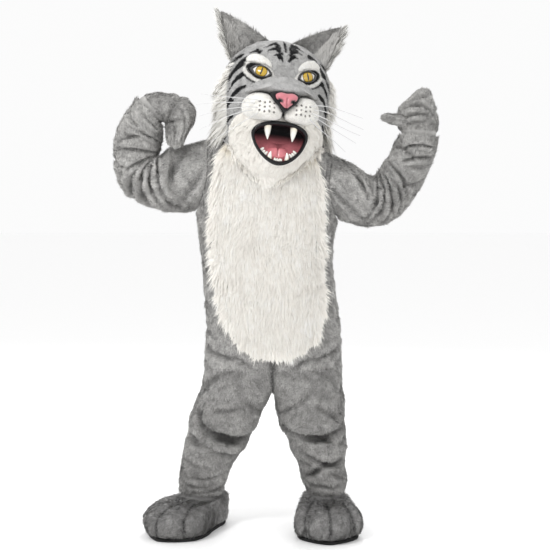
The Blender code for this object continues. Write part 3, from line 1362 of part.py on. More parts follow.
def ears():
    tree = shell_tree(("head_face", "head_back", "head_crown"))
    for side, sign in (("left", 1.0), ("right", -1.0)):
        tip = from_head((sign * EAR_TIP[0], EAR_TIP[1], EAR_TIP[2]))
        down = unit(from_head((sign * EAR_BASE[0], EAR_BASE[1], EAR_BASE[2])) - tip)
        feet, tips = [], []
        across = np.linspace(-1.0, 1.0, 7)
        for layer in (0.0, EAR_THICK):
            start = from_head(np.stack([sign * (EAR_BASE[0] + EAR_HALF * across * 0.86),
                                        EAR_BASE[1] + EAR_CUP * (1 - across ** 2) + layer,
                                        EAR_BASE[2] + 0.07 - EAR_HALF * 0.62 * across], axis=-1))
            hits = [tree.ray_cast(Vector(point), Vector(down)) for point in start]
            feet.append(np.array([hit[0] for hit in hits]))
            tips.append(tip + HEAD_AXES[:, 1] * layer)
        lift = SEAT
        for _ in range(4):
            layers = [ear_rows(foot - down * lift, end) for foot, end in zip(feet, tips)]
            samples = [rows[0, :-1] * (1 - over) + rows[0, 1:] * over + (rows[1, :-1] - rows[0, :-1]) * up
                       for rows in layers for over in (0.0, 0.25, 0.5, 0.75, 1.0) for up in (0.0, 0.2, 0.5)]
            sink = 0.0
            for place in np.concatenate(samples):
                hit = tree.ray_cast(Vector(place - down * 0.04), Vector(down))
                if hit[0] is not None:
                    sink = max(sink, 0.04 - hit[3])
            lift += sink
        lift += EAR_CLEAR
        layers = [ear_rows(foot - down * lift, end) for foot, end in zip(feet, tips)]
        wall("ear_" + side, layers[1], layers[0], "grey_plush")
        edge = (layers[0][:, 6] + layers[1][:, 6]) / 2
        ear_fringe(side, edge, sign)


def ear_fringe(side, edge, sign):
    """Long locks on a narrow strip along the ear's outer edge."""
    knots = np.linspace(0.0, 1.0, len(edge))
    table = np.concatenate([knots[:, None], edge], axis=1)
    parts = np.linspace(0.03, 0.97, 2 * EAR_LOCKS + 1)
    root = smooth(table, parts)
    out = unit(HEAD_AXES @ np.array((sign, 0.0, -0.10)))
    locks = np.where(np.arange(len(parts)) % 2 == 1, LOCK_REACH, LOCK_VALLEY)[:, None]
    rise = HEAD_AXES[:, 2] * 0.006 * (np.arange(len(parts)) % 2)[:, None]
    strip = root + out * (EAR_STRIP_GAP)
    ends = root + out * (EAR_STRIP_GAP + locks) + rise
    thick = HEAD_AXES[:, 1] * 0.005
    front = np.stack([strip - thick / 2, ends - thick * 0.25])
    back = np.stack([strip + thick / 2, ends + thick * 0.25])
    wall("ear_fringe_" + side, back, front, "white_fur")


def shell_facets(turns, parts, sign):
    """Points on the straight runs between the points of the head's back panel."""
    turn, part = back_grid()
    grid = head_point(turn, part)
    if sign < 0.0:
        grid, part = grid[:, ::-1], part[:, ::-1]
    rows, columns = part[:, 0], np.radians(BACK_HALF_TURNS)

    def place(knots, at):
        low = np.clip(np.searchsorted(knots, at, side="right") - 1, 0, len(knots) - 2)
        return low, (at - knots[low]) / (knots[low + 1] - knots[low])

    row, up = place(rows, parts)
    column, over = place(columns, turns)
    up, over = up[:, None, None], over[None, :, None]
    row, column = row[:, None], column[None, :]
    near = grid[row, column] * (1.0 - over) + grid[row, column + 1] * over
    far = grid[row + 1, column] * (1.0 - over) + grid[row + 1, column + 1] * over
    return near * (1.0 - up) + far * up


def cheek_ruffs():
    """Long fur down each side of the head, as one wedge with a row of locks at its edge."""
    for side, sign in (("left", 1.0), ("right", -1.0)):
        turns = np.radians(np.array(RUFF_TURNS))
        parts = np.linspace(RUFF_LOW, RUFF_HIGH, 2 * RUFF_LOCKS + 1)
        turn, part = np.meshgrid(sign * turns, parts)
        face = shell_facets(turns, parts, sign)
        out = outward(head_point, turn, part, height_step=0.01)
        even = (np.arange(len(parts)) % 2)[:, None]
        fade = ease((parts - RUFF_LOW) / 0.06 + 0.25) * ease((RUFF_HIGH - parts) / 0.12 + 0.1)
        fade = fade[:, None]
        rise = (np.array(RUFF_RISE)[None] + even * np.array(RUFF_LOCK)[None]) * fade + 0.002
        droop = np.array((0.0, 0.0, -1.0)) * (even * np.array((0.0, 0.0, 0.008, 0.004)))[..., None]
        outside = face + out * (RUFF_SEAT + rise)[..., None] + droop
        inside = face + out * RUFF_SEAT
        wall("cheek_ruff_" + side, outside, inside, "white_fur")


def whiskers():
    for side, sign in (("left", 1.0), ("right", -1.0)):
        pad = shell_tree(("muzzle_" + side,))
        for number, (x, height, reach, drop) in enumerate(WHISKERS, start=1):
            above = from_head((sign * x, -0.5, height))
            hit = pad.ray_cast(Vector(above), Vector(HEAD_AXES[:, 1]))
            normal = np.array(hit[1])
            normal = normal if normal @ HEAD_AXES[:, 1] < 0.0 else -normal
            root = np.array(hit[0]) + normal * WHISKER_SEAT
            way = unit(HEAD_AXES @ np.array((sign * reach, 0.04, drop)))
            length = math.hypot(reach, drop)
            rings = []
            for part in (0.0, 0.12, 0.35, 0.65, 1.0):
                lean = WHISKER_STAND * (1.0 - (1.0 - min(part / 0.5, 1.0)) ** 2)
                middle = root + normal * lean + way * length * part ** 1.5
                middle = middle + HEAD_AXES @ np.array((0.0, 0.03 * part ** 2, -0.012 * part ** 2))
                radius = WHISKER_RADIUS * (1.0 - 0.6 * part)
                heading = unit(normal * (1.0 - part) + way * part * 1.5)
                beside = unit(np.cross(heading, (0.0, 0.0, 1.0)))
                upright = np.cross(beside, heading)
                turns = ring_turns(4)[:, None]
                rings.append(middle + radius * (beside * np.cos(turns) + upright * np.sin(turns)))
            points = np.array(rings).reshape(-1, 3)
            faces = [tuple(range(4)), tuple(range(16, 20))]
            for ring in range(4):
                for step in range(4):
                    after = (step + 1) % 4
                    faces.append((ring * 4 + step, ring * 4 + after,
                                  ring * 4 + 4 + after, ring * 4 + 4 + step))
            add_object("whisker_%s_%d" % (side, number), points, faces, "bristle")


suit_panels()
belly_panel()
sleeve_inside_left = sleeve("left", 1.0, SLEEVE_LEFT, SLEEVE_FOLDS_LEFT)
sleeve_inside_right = sleeve("right", -1.0, SLEEVE_RIGHT, SLEEVE_FOLDS_RIGHT)
leg_inside = {
    "left": leg("left", 1.0, LEG_LEFT, LEG_FOLDS_LEFT),
    "right": leg("right", -1.0, LEG_RIGHT, LEG_FOLDS_RIGHT),
}
mitt("left", MITT_LEFT, sleeve_inside_left)
mitt("right", MITT_RIGHT, sleeve_inside_right)
for foot_side, foot_x, foot_y, foot_turn in FEET:
    foot(foot_side, foot_x, foot_y, foot_turn, leg_inside[foot_side])
thumb()
back_zip()
zip_hardware()
head_shell()
FACE = face_tree(("head_face", "chin_bib"))
muzzle()
eyes()
mouth()
ears()
cheek_ruffs()
whiskers()
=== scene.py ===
"""Wildcat costume, dressed: cloth shells with creases, pile and long fur, face, floor, light and camera.

The forms repeat the tables and the functions of the part's solids, at a finer pitch. Each cloth
piece is a thin shell just under its solid's surface, and its pile reaches up to that surface.
Left and right are the wearer's own, so left is +X.
"""

import math

import bpy
import numpy as np
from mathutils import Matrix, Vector
from mathutils.bvhtree import BVHTree


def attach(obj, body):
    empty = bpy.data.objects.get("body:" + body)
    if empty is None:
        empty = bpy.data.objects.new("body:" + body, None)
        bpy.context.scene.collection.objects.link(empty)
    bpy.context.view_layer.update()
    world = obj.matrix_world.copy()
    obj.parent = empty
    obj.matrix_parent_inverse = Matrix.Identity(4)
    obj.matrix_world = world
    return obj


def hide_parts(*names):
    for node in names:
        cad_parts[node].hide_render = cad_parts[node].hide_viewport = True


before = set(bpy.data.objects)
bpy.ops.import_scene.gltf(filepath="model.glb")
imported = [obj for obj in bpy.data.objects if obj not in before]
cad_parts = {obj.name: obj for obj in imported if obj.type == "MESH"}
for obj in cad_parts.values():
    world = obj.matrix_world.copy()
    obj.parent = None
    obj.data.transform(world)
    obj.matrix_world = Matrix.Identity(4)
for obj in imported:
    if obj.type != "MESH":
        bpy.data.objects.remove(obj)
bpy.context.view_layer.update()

# Body suit sections, bottom to top.
# columns: height, right edge x, left edge x, front depth, back depth, squareness
TORSO = (
    (-0.790, -0.262, 0.268, 0.158, 0.182, 2.2),
    (-0.700, -0.256, 0.264, 0.176, 0.186, 2.3),
    (-0.582, -0.248, 0.256, 0.190, 0.176, 2.4),
    (-0.475, -0.258, 0.240, 0.200, 0.160, 2.4),
    (-0.357, -0.268, 0.230, 0.196, 0.152, 2.4),
    (-0.284, -0.276, 0.232, 0.190, 0.154, 2.4),
    (-0.190, -0.286, 0.250, 0.182, 0.162, 2.4),
    (-0.057, -0.284, 0.256, 0.168, 0.166, 2.4),
    (0.010, -0.272, 0.250, 0.150, 0.156, 2.3),
    (0.048, -0.254, 0.240, 0.134, 0.146, 2.2),
    (0.070, -0.226, 0.222, 0.122, 0.136, 2.1),
    (0.088, -0.172, 0.182, 0.112, 0.122, 2.0),
    (0.104, -0.118, 0.130, 0.102, 0.106, 2.0),
)
HEM_Z = -0.760
NECK_Z = 0.104
SHOULDER_LEAN = -0.12
LEAN_FROM, LEAN_TO = -0.40, 0.02
ARM_Z, ARM_HALF_Z = -0.060, 0.130
ARM_HALF_TURN = math.radians(36)

# Belly panel, bottom to top.
# columns: height, angle of its right edge, angle of its left edge, in degrees
BELLY = (
    (-0.716, -6.0, 8.5),
    (-0.703, -13.0, 17.0),
    (-0.688, -18.0, 23.0),
    (-0.660, -26.0, 31.0),
    (-0.615, -35.0, 37.5),
    (-0.550, -41.5, 44.0),
    (-0.480, -45.5, 47.5),
    (-0.340, -48.0, 51.0),
    (-0.190, -45.0, 46.0),
    (-0.060, -42.0, 42.0),
    (0.040, -40.0, 40.0),
    (0.104, -38.0, 38.0),
)
BELLY_BOTTOM = -0.716
BELLY_RISE = 0.009

# Centre-back zip
TAPE_BOTTOM, TAPE_TOP = -0.480, 0.005
TAPE_HALF_TURN = math.radians(4.2)

# Sleeves from the armhole to the cuff; the picture-plane ends of each section.
# columns: place along, x and z of the elbow-pit side, x and z of the outer side, middle y, half depth
SLEEVE_RIGHT = (
    (0.00, -0.290, 0.096, -0.296, -0.172, 0.004, 0.112),
    (0.10, -0.334, 0.074, -0.338, -0.184, 0.002, 0.108),
    (0.20, -0.384, 0.064, -0.398, -0.176, -0.002, 0.104),
    (0.31, -0.412, 0.044, -0.476, -0.155, -0.004, 0.098),
    (0.41, -0.424, 0.034, -0.548, -0.116, -0.006, 0.094),
    (0.51, -0.425, 0.037, -0.590, -0.040, -0.008, 0.090),
    (0.62, -0.421, 0.049, -0.596, 0.040, -0.012, 0.086),
    (0.73, -0.413, 0.076, -0.588, 0.116, -0.018, 0.082),
    (0.84, -0.408, 0.108, -0.560, 0.176, -0.026, 0.076),
    (1.00, -0.409, 0.144, -0.506, 0.250, -0.036, 0.066),
)
SLEEVE_LEFT = (
    (0.00, 0.254, 0.046, 0.262, -0.204, 0.004, 0.112),
    (0.10, 0.298, 0.010, 0.304, -0.228, 0.002, 0.108),
    (0.20, 0.343, -0.022, 0.366, -0.234, -0.002, 0.104),
    (0.31, 0.372, -0.038, 0.434, -0.222, -0.004, 0.098),
    (0.42, 0.390, -0.036, 0.495, -0.184, -0.006, 0.094),
    (0.53, 0.402, -0.018, 0.540, -0.128, -0.008, 0.090),
    (0.65, 0.418, 0.006, 0.574, -0.062, -0.012, 0.086),
    (0.77, 0.440, 0.040, 0.602, 0.004, -0.018, 0.082),
    (0.88, 0.458, 0.082, 0.620, 0.052, -0.026, 0.077),
    (1.00, 0.474, 0.112, 0.624, 0.100, -0.036, 0.072),
)
SLEEVE_JOIN = 0.16
LIMB_ROUND = 0.92

# Folds that run round a sleeve from the elbow pit.
# columns: place along, half width along, depth on the front, depth on the back
SLEEVE_FOLDS_RIGHT = (
    (0.15, 0.025, -0.012, -0.006),
    (0.20, 0.025, 0.008, 0.004),
    (0.30, 0.022, -0.013, -0.010),
    (0.40, 0.022, -0.012, -0.010),
    (0.50, 0.022, -0.011, -0.009),
    (0.60, 0.025, -0.009, -0.008),
    (0.66, 0.025, 0.005, 0.004),
    (0.72, 0.025, -0.012, -0.007),
)
SLEEVE_FOLDS_LEFT = (
    (0.15, 0.025, -0.012, -0.006),
    (0.25, 0.022, -0.013, -0.009),
    (0.35, 0.022, -0.014, -0.011),
    (0.45, 0.022, -0.011, -0.009),
    (0.55, 0.025, -0.009, -0.007),
    (0.72, 0.030, -0.006, -0.006),
    (0.84, 0.025, -0.008, -0.006),
)

# Legs from the hip seam to the hem; the picture-plane ends of each section.
# columns: place along, x and z of the outer side, x and z of the inner side, middle y, half depth
LEG_RIGHT = (
    (0.00, -0.260, -0.770, -0.012, -0.860, 0.010, 0.150),
    (0.14, -0.264, -0.830, -0.014, -0.900, 0.004, 0.140),
    (0.26, -0.288, -0.895, -0.036, -0.940, -0.002, 0.130),
    (0.38, -0.314, -0.955, -0.064, -0.998, -0.010, 0.124),
    (0.50, -0.324, -1.020, -0.096, -1.058, -0.010, 0.112),
    (0.62, -0.342, -1.085, -0.132, -1.115, -0.004, 0.108),
    (0.74, -0.350, -1.145, -0.162, -1.165, 0.004, 0.098),
    (0.87, -0.358, -1.200, -0.177, -1.212, 0.008, 0.092),
    (1.00, -0.360, -1.250, -0.189, -1.254, 0.010, 0.082),
)
LEG_LEFT = (
    (0.00, 0.264, -0.770, 0.012, -0.860, 0.010, 0.150),
    (0.14, 0.266, -0.830, 0.012, -0.900, 0.004, 0.140),
    (0.26, 0.277, -0.892, 0.014, -0.936, -0.002, 0.130),
    (0.38, 0.276, -0.955, 0.026, -0.986, -0.010, 0.126),
    (0.50, 0.281, -1.022, 0.058, -1.038, -0.010, 0.110),
    (0.62, 0.285, -1.085, 0.070, -1.092, -0.004, 0.108),
    (0.74, 0.278, -1.142, 0.098, -1.142, 0.004, 0.096),
    (0.87, 0.288, -1.198, 0.110, -1.198, 0.008, 0.092),
    (1.00, 0.277, -1.250, 0.134, -1.252, 0.010, 0.078),
)
LEG_JOIN = 0.20
CROTCH_DROP = 0.107

# Bags and creases that run across a leg.
# columns: place along, half width along, depth on the front, depth on the back, slant
LEG_FOLDS_RIGHT = (
    (0.39, 0.045, 0.010, 0.006, 0.04),
    (0.46, 0.035, -0.014, -0.008, 0.05),
    (0.56, 0.040, 0.008, 0.005, 0.03),
    (0.63, 0.035, -0.012, -0.007, -0.03),
    (0.84, 0.030, 0.004, 0.004, 0.0),
    (0.92, 0.030, -0.007, -0.006, 0.0),
)
LEG_FOLDS_LEFT = (
    (0.41, 0.050, 0.012, 0.007, 0.0),
    (0.49, 0.035, -0.016, -0.009, 0.0),
    (0.61, 0.045, 0.010, 0.006, -0.02),
    (0.69, 0.035, -0.014, -0.008, -0.03),
    (0.80, 0.030, -0.006, -0.004, 0.04),
    (0.92, 0.030, -0.006, -0.006, 0.0),
)

# Mitts from inside the cuff to the finger tips.
# columns: place along, x and z of the palm side, x and z of the back of the hand, middle y, half depth
MITT_RIGHT = (
    (0.20, -0.402, 0.160, -0.474, 0.264, -0.040, 0.066),
    (0.30, -0.397, 0.152, -0.436, 0.267, -0.042, 0.070),
    (0.42, -0.394, 0.141, -0.388, 0.264, -0.046, 0.074),
    (0.53, -0.394, 0.126, -0.330, 0.250, -0.050, 0.076),
    (0.63, -0.394, 0.110, -0.286, 0.212, -0.056, 0.074),
    (0.72, -0.391, 0.094, -0.284, 0.166, -0.064, 0.066),
    (0.82, -0.387, 0.080, -0.302, 0.128, -0.074, 0.055),
    (0.91, -0.380, 0.068, -0.317, 0.094, -0.084, 0.046),
    (1.00, -0.366, 0.060, -0.330, 0.066, -0.090, 0.030),
)
MITT_LEFT = (
    (0.16, 0.472, 0.126, 0.624, 0.112, -0.040, 0.072),
    (0.34, 0.468, 0.152, 0.622, 0.146, -0.042, 0.076),
    (0.48, 0.470, 0.169, 0.620, 0.162, -0.050, 0.078),
    (0.60, 0.468, 0.193, 0.616, 0.188, -0.050, 0.076),
    (0.70, 0.474, 0.214, 0.610, 0.206, -0.050, 0.070),
    (0.78, 0.494, 0.232, 0.605, 0.224, -0.050, 0.062),
    (0.86, 0.514, 0.248, 0.602, 0.242, -0.050, 0.054),
    (0.94, 0.526, 0.264, 0.598, 0.259, -0.050, 0.044),
    (1.00, 0.542, 0.277, 0.588, 0.274, -0.050, 0.030),
)
# The left thumb: where it is sewn on, in the mitt's turn and place, and its tip
THUMB_TURN, THUMB_HALF_TURN = math.radians(28), math.radians(26)
THUMB_PLACE, THUMB_HALF_PLACE = 0.40, 0.15
THUMB_TIP = (0.405, -0.090, 0.175)
# columns: share of the way to the tip, size against the root
THUMB_SIZES = ((0.0, 1.0), (0.25, 1.02), (0.50, 0.95), (0.72, 0.80), (0.88, 0.56), (0.97, 0.28),
               (1.0, 0.03))

FLOOR = -1.385
SOLE_THICK = 0.012

# Foot covers, sole to ankle, in the foot's own frame.
# columns: height over the sole, reach forward, reach back, half width at the toes, and at the heel
FOOT = (
    (0.000, 0.276, 0.104, 0.140, 0.074),
    (0.030, 0.292, 0.114, 0.151, 0.080),
    (0.060, 0.288, 0.116, 0.149, 0.084),
    (0.084, 0.264, 0.114, 0.138, 0.086),
    (0.102, 0.210, 0.110, 0.120, 0.088),
    (0.114, 0.136, 0.104, 0.102, 0.090),
)
FOOT_ROUND = 0.85
TOE_DENT, TOE_PITCH = 0.05, 1.9
FOOT_LEVELS = (0.0, 0.011, 0.022, 0.037, 0.052, 0.066, 0.080, 0.092, 0.102)
# Sole, floor to top. columns: height, size against the foot's outline
SOLE_RINGS = ((0.0, 0.02), (0.0, 0.5), (0.0, 0.95), (0.0015, 0.985), (0.006, 0.995), (0.0105, 0.985),
              (0.0118, 0.95), (0.0118, 0.5), (0.0118, 0.02))
# columns: side name, x and y of the ankle, turn in degrees outwards
FEET = (
    ("right", -0.268, 0.004, -34.0),
    ("left", 0.203, 0.004, 2.0),
)

# Head, in its own frame, neck rim to crown.
# columns: height, half width, front depth, back depth, squareness
HEAD = (
    (-0.120, 0.176, 0.190, 0.166, 2.0),
    (-0.060, 0.180, 0.228, 0.166, 2.0),
    (0.000, 0.186, 0.240, 0.162, 2.0),
    (0.060, 0.194, 0.234, 0.158, 2.1),
    (0.120, 0.201, 0.212, 0.160, 2.2),
    (0.180, 0.206, 0.198, 0.166, 2.2),
    (0.250, 0.202, 0.190, 0.176, 2.2),
    (0.310, 0.184, 0.176, 0.172, 2.1),
    (0.350, 0.158, 0.152, 0.152, 2.1),
    (0.384, 0.118, 0.114, 0.116, 2.0),
    (0.404, 0.074, 0.072, 0.074, 2.0),
    (0.412, 0.036, 0.036, 0.036, 2.0),
)
HEAD_TOP = 0.415
HEAD_PIVOT = np.array((-0.010, 0.0, 0.052))
HEAD_TURN, HEAD_ROLL = math.radians(9.5), math.radians(6.0)
# columns: angle from the front of the suit, height of the neck rim on it
RIM = (
    (0.0, -0.072),
    (14.0, -0.058),
    (28.0, -0.022),
    (50.0, 0.040),
    (70.0, 0.072),
    (90.0, 0.084),
    (110.0, 0.082),
    (130.0, 0.072),
    (145.0, 0.054),
    (160.0, 0.040),
    (180.0, 0.035),
)
FACE_HALF_TURN = 64.0
# columns: angle from the face, height of the edge between grey face and white chin
CHIN_EDGE = (
    (0.0, 0.135),
    (30.0, 0.135),
    (48.0, 0.110),
    (64.0, 0.070),
)
HEAD_WALL = 0.007
SKIRT_SHARE = 0.13
CROWN_PART, NEARLY_TOP = 0.86, 0.9995
RIM_LIFT = 0.0026
RIM_DIP, RIM_DIP_TURN = 0.0018, math.radians(45)

# Mouth, in the head's frame
MOUTH_HALF, MOUTH_TOP, MOUTH_BOTTOM = 0.126, 0.0935, -0.058
MOUTH_MIDDLE = (MOUTH_TOP + MOUTH_BOTTOM) / 2
MOUTH_TAPER = 0.52
LIP_WIDE = 0.010
# columns: inwards from the mouth's edge, back from the face
LIP_SECTION = ((0.0008, -0.008), (0.0008, 0.013), (0.0060, 0.014), (LIP_WIDE, 0.006), (0.0070, -0.010))
# columns: inwards from the mouth's edge, back from the face, share of the way to the back
LINING = ((0.0030, 0.0146, 0.0), (0.0070, 0.024, 0.2), (0.0160, 0.030, 0.55), (0.0320, 0.030, 0.9),
          (0.0500, 0.030, 1.0))
# columns: height, depth of the mouth's back
MOUTH_BACK = ((-0.060, -0.205), (0.000, -0.178), (0.050, -0.146), (0.100, -0.120))
BACKWARD = np.array((0.0, 1.0, 0.0))
# columns: name, angle round the mouth, length, radius
FANGS = (
    ("fang_upper_left", 65.0, 0.051, 0.0105),
    ("fang_upper_right", 115.0, 0.051, 0.0105),
    ("fang_lower_left", 303.0, 0.028, 0.0075),
    ("fang_lower_right", 237.0, 0.028, 0.0075),
)
# columns: name, node, first and last angle round the mouth, height, number of teeth
TOOTH_ROWS = (
    ("front_teeth", "incisors", 253.0, 287.0, 0.013, 6),
    ("side_teeth_left", "molars_left", 316.0, 341.0, 0.017, 3),
    ("side_teeth_right", "molars_right", 199.0, 224.0, 0.017, 3),
)

# Muzzle outlines seen from the front, in the head's frame: x and height
PAD = ((0.004, 0.142), (0.006, 0.110), (0.030, 0.097), (0.070, 0.0955), (0.108, 0.099), (0.135, 0.114),
       (0.142, 0.142), (0.133, 0.170), (0.108, 0.189), (0.074, 0.192), (0.040, 0.180))
PAD_RISE = 0.072
BRIDGE_SIDE = ((0.028, 0.1880), (0.050, 0.1940), (0.074, 0.1985), (0.100, 0.1970), (0.122, 0.1915),
               (0.136, 0.194), (0.132, 0.206), (0.112, 0.223), (0.084, 0.239), (0.050, 0.253))
BRIDGE = ((0.0, 0.186),) + BRIDGE_SIDE + ((0.0, 0.258),) + tuple((-x, h) for x, h in reversed(BRIDGE_SIDE))
NOSE_SIDE = ((0.020, 0.144), (0.043, 0.165), (0.050, 0.188), (0.030, 0.200))
NOSE = ((0.0, 0.130),) + NOSE_SIDE + ((0.0, 0.198),) + tuple((-x, h) for x, h in reversed(NOSE_SIDE))
NOSE_MIDDLE = (0.0, 0.170)

# Eyes, seen from the front
EYE_X, EYE_HEIGHT, EYE_TILT = 0.086, 0.272, math.radians(17)
EYE_HALF_X, EYE_HALF_H = 0.026, 0.0155
RIM_HALF_X, RIM_HALF_H = 0.0365, 0.0230
BROW = ((0.050, 0.288), (0.064, 0.295), (0.090, 0.302), (0.116, 0.307), (0.132, 0.308), (0.132, 0.322),
        (0.110, 0.334), (0.080, 0.327), (0.058, 0.309))

# Ears, in the head's frame
EAR_BASE = (0.141, 0.010, 0.350)
EAR_TIP = (0.230, 0.030, 0.499)
EAR_HALF, EAR_CUP, EAR_THICK = 0.080, 0.040, 0.008

# Whiskers: x and height of the root on the pad, sideways reach, drop
WHISKERS = (
    (0.092, 0.158, 0.200, 0.000),
    (0.108, 0.148, 0.190, -0.026),
    (0.098, 0.134, 0.190, -0.042),
    (0.112, 0.124, 0.165, -0.064),
    (0.094, 0.114, 0.150, -0.086),
)
WHISKER_RADIUS = 0.0018
WHISKER_STAND = 0.022


def smooth(table, at):
    """The columns of a table at places along its first column, on one smooth curve."""
    rows = np.array(table, float)
    knots, values = rows[:, 0], rows[:, 1:]
    slopes = np.gradient(values, knots, axis=0)
    at = np.asarray(at, float)
    low = np.clip(np.searchsorted(knots, at, side="right") - 1, 0, len(knots) - 2)
    span = knots[low + 1] - knots[low]
    part = ((at - knots[low]) / span)[..., None]
    span = span[..., None]
    a, b = values[low], values[low + 1]
    rise_a, rise_b = slopes[low] * span, slopes[low + 1] * span
    cube, square = part ** 3, part ** 2
    return ((2 * cube - 3 * square + 1) * a + (cube - 2 * square + part) * rise_a
            + (3 * square - 2 * cube) * b + (cube - square) * rise_b)


def ease(value):
    """0 to 1 with flat ends."""
    value = np.clip(value, 0.0, 1.0)
    return value * value * (3.0 - 2.0 * value)


def settle(value):
    """0 to 1, fast at first and flat at the end."""
    return 1.0 - (1.0 - np.clip(value, 0.0, 1.0)) ** 2


def columns_at(table, at):
    """The columns of a table at places along its first one, an array for each."""
    return np.moveaxis(smooth(table, at), -1, 0)


def bulge(value, power):
    """A value's size raised to a power, with its sign kept."""
    return np.sign(value) * np.abs(value) ** power


def unit(vectors):
    """Vectors brought to a length of 1."""
    return vectors / np.maximum(np.linalg.norm(vectors, axis=-1, keepdims=True), 1e-12)


def section(turn, middle, half, front, back, power):
    """x and y of a rounded section; turn 0 is the front, a quarter turn is +X."""
    side, ahead = np.sin(turn), np.cos(turn)
    bend = 2.0 / power
    x = middle + half * bulge(side, bend)
    reach = np.where(ahead > 0.0, -front, back)
    return x, reach * np.abs(ahead) ** bend


def lean_at(height):
    """How far the suit's level lines rise for each metre to the left."""
    return SHOULDER_LEAN * ease((height - LEAN_FROM) / (LEAN_TO - LEAN_FROM))


def torso_point(turn, height):
    """A point of the body suit's outside."""
    right, left, front, back, power = columns_at(TORSO, height)
    x, y = section(turn, (left + right) / 2, (left - right) / 2, front, back, power)
    return np.stack([x, y, height + lean_at(height) * x], axis=-1)


def outward(surface, turn, height, turn_step=0.02, height_step=0.004):
    """Unit vectors out of a surface whose turn grows from -Y to +X."""
    across = surface(turn + turn_step, height) - surface(turn - turn_step, height)
    up = surface(turn, height + height_step) - surface(turn, height - height_step)
    return unit(np.cross(across, up))


def ring_turns(count):
    return np.arange(count) * (2 * math.pi / count)


def limb_ring(table, turn, place):
    """A limb's own section; turn 0 is the side that its table names first, a quarter turn the front."""
    first_x, first_z, last_x, last_z, middle_y, depth = columns_at(table, place)
    swing, lift = bulge(np.cos(turn), LIMB_ROUND), bulge(np.sin(turn), LIMB_ROUND)
    x = (first_x + last_x) / 2 + (first_x - last_x) / 2 * swing
    z = (first_z + last_z) / 2 + (first_z - last_z) / 2 * swing
    return np.stack([x, middle_y - depth * lift, z], axis=-1)


def folds(table, turn, place):
    """How far the folds move a sleeve or leg section in or out."""
    total = np.zeros(np.broadcast(turn, place).shape)
    for row in table:
        at, half, front, back = row[:4]
        slant = row[4] if len(row) > 4 else 0.0
        shift = slant * np.cos(turn)
        ridge = np.exp(-((place - at - shift) / half) ** 2)
        side = np.sin(turn)
        total += ridge * np.where(side > 0.0, front * side, -back * side)
    return total


def limb_grid(top, table, fold_table, turn, place, join):
    """A limb with its folds, drawn from the seam at its top into its own sections."""
    ring = limb_ring(table, turn, place)
    middle = (limb_ring(table, 0.0 * turn, place) + limb_ring(table, 0.0 * turn + math.pi, place)) / 2
    ring = ring + unit(ring - middle) * folds(fold_table, turn, place)[..., None]
    share = ease(place / join)[..., None]
    return top * (1.0 - share) + ring * share


def foot_ways(yaw):
    """Level directions straight along a foot and across it."""
    return np.array([math.sin(yaw), -math.cos(yaw)]), np.array([math.cos(yaw), math.sin(yaw)])


def foot_ring(turn, height, sign, ankle, yaw):
    """A foot cover's section; turn 0 is the leg's outer side, a quarter turn the front."""
    ahead, behind, toe_half, heel_half = columns_at(FOOT, height)
    world = np.stack([sign * np.cos(turn), -np.sin(turn)], axis=-1)
    forward, sideways = foot_ways(yaw)
    front, side = world @ forward, world @ sideways
    angle = np.arctan2(side, front)
    toes = 1.0 - TOE_DENT * np.abs(np.sin(2.0 * angle * TOE_PITCH)) * (np.cos(angle) > 0.2)
    reach = np.where(front > 0, ahead, behind) * bulge(front, FOOT_ROUND) * toes
    width = heel_half + (toe_half - heel_half) * ease((front + 0.15) / 0.85)
    across = width * bulge(side, FOOT_ROUND)
    flat = ankle + reach[..., None] * forward + across[..., None] * sideways
    return np.concatenate([flat, (FLOOR + SOLE_THICK + height)[..., None]], axis=-1)


def head_frame():
    """The head's axes: turned to its left and rolled down on that side."""
    turn_c, turn_s = math.cos(HEAD_TURN), math.sin(HEAD_TURN)
    roll_c, roll_s = math.cos(HEAD_ROLL), math.sin(HEAD_ROLL)
    turn = np.array(((turn_c, -turn_s, 0.0), (turn_s, turn_c, 0.0), (0.0, 0.0, 1.0)))
    roll = np.array(((roll_c, 0.0, roll_s), (0.0, 1.0, 0.0), (-roll_s, 0.0, roll_c)))
    return turn @ roll


HEAD_AXES = head_frame()


def from_head(points):
    """Points of the head's own frame, placed in the world."""
    return np.asarray(points, float) @ HEAD_AXES.T + HEAD_PIVOT


def into_head(points):
    return (np.asarray(points, float) - HEAD_PIVOT) @ HEAD_AXES


def head_form(turn, height):
    """A point of the head's outside in its own frame."""
    half, front, back, power = columns_at(HEAD, height)
    x, y = section(turn, 0.0, half, front, back, power)
    return np.stack([x, y, np.broadcast_to(height, x.shape)], axis=-1)


def suit_round(angle, height):
    """A point of the body suit's outside at a true angle from the front, about the suit's middle."""
    right, left, front, back, power = columns_at(TORSO, height)
    side, ahead = np.sin(angle), np.cos(angle)
    reach = np.where(ahead > 0.0, front, back)
    size = (np.abs(side) * 2 / (left - right)) ** power + (np.abs(ahead) / reach) ** power
    x = (left + right) / 2 + side * size ** (-1.0 / power)
    return np.stack([x, -ahead * size ** (-1.0 / power), height + lean_at(height) * x], axis=-1)


def rim_angle(turn):
    """Where a turn of the head lies round the suit."""
    form = from_head(head_form(turn, 0.0))
    return np.arctan2(form[..., 0], -form[..., 1])


def rim_height(turn):
    """Height on the body suit where the neck skirt rests."""
    return smooth(RIM, np.degrees(np.abs(rim_angle(turn))))[..., 0]


def over_belly(angle):
    """How far the belly panel stands out of the suit at an angle from the front."""
    return (BELLY_RISE + 0.0015) * (1.0 - ease((np.degrees(np.abs(angle)) - 60.0) / 12.0))


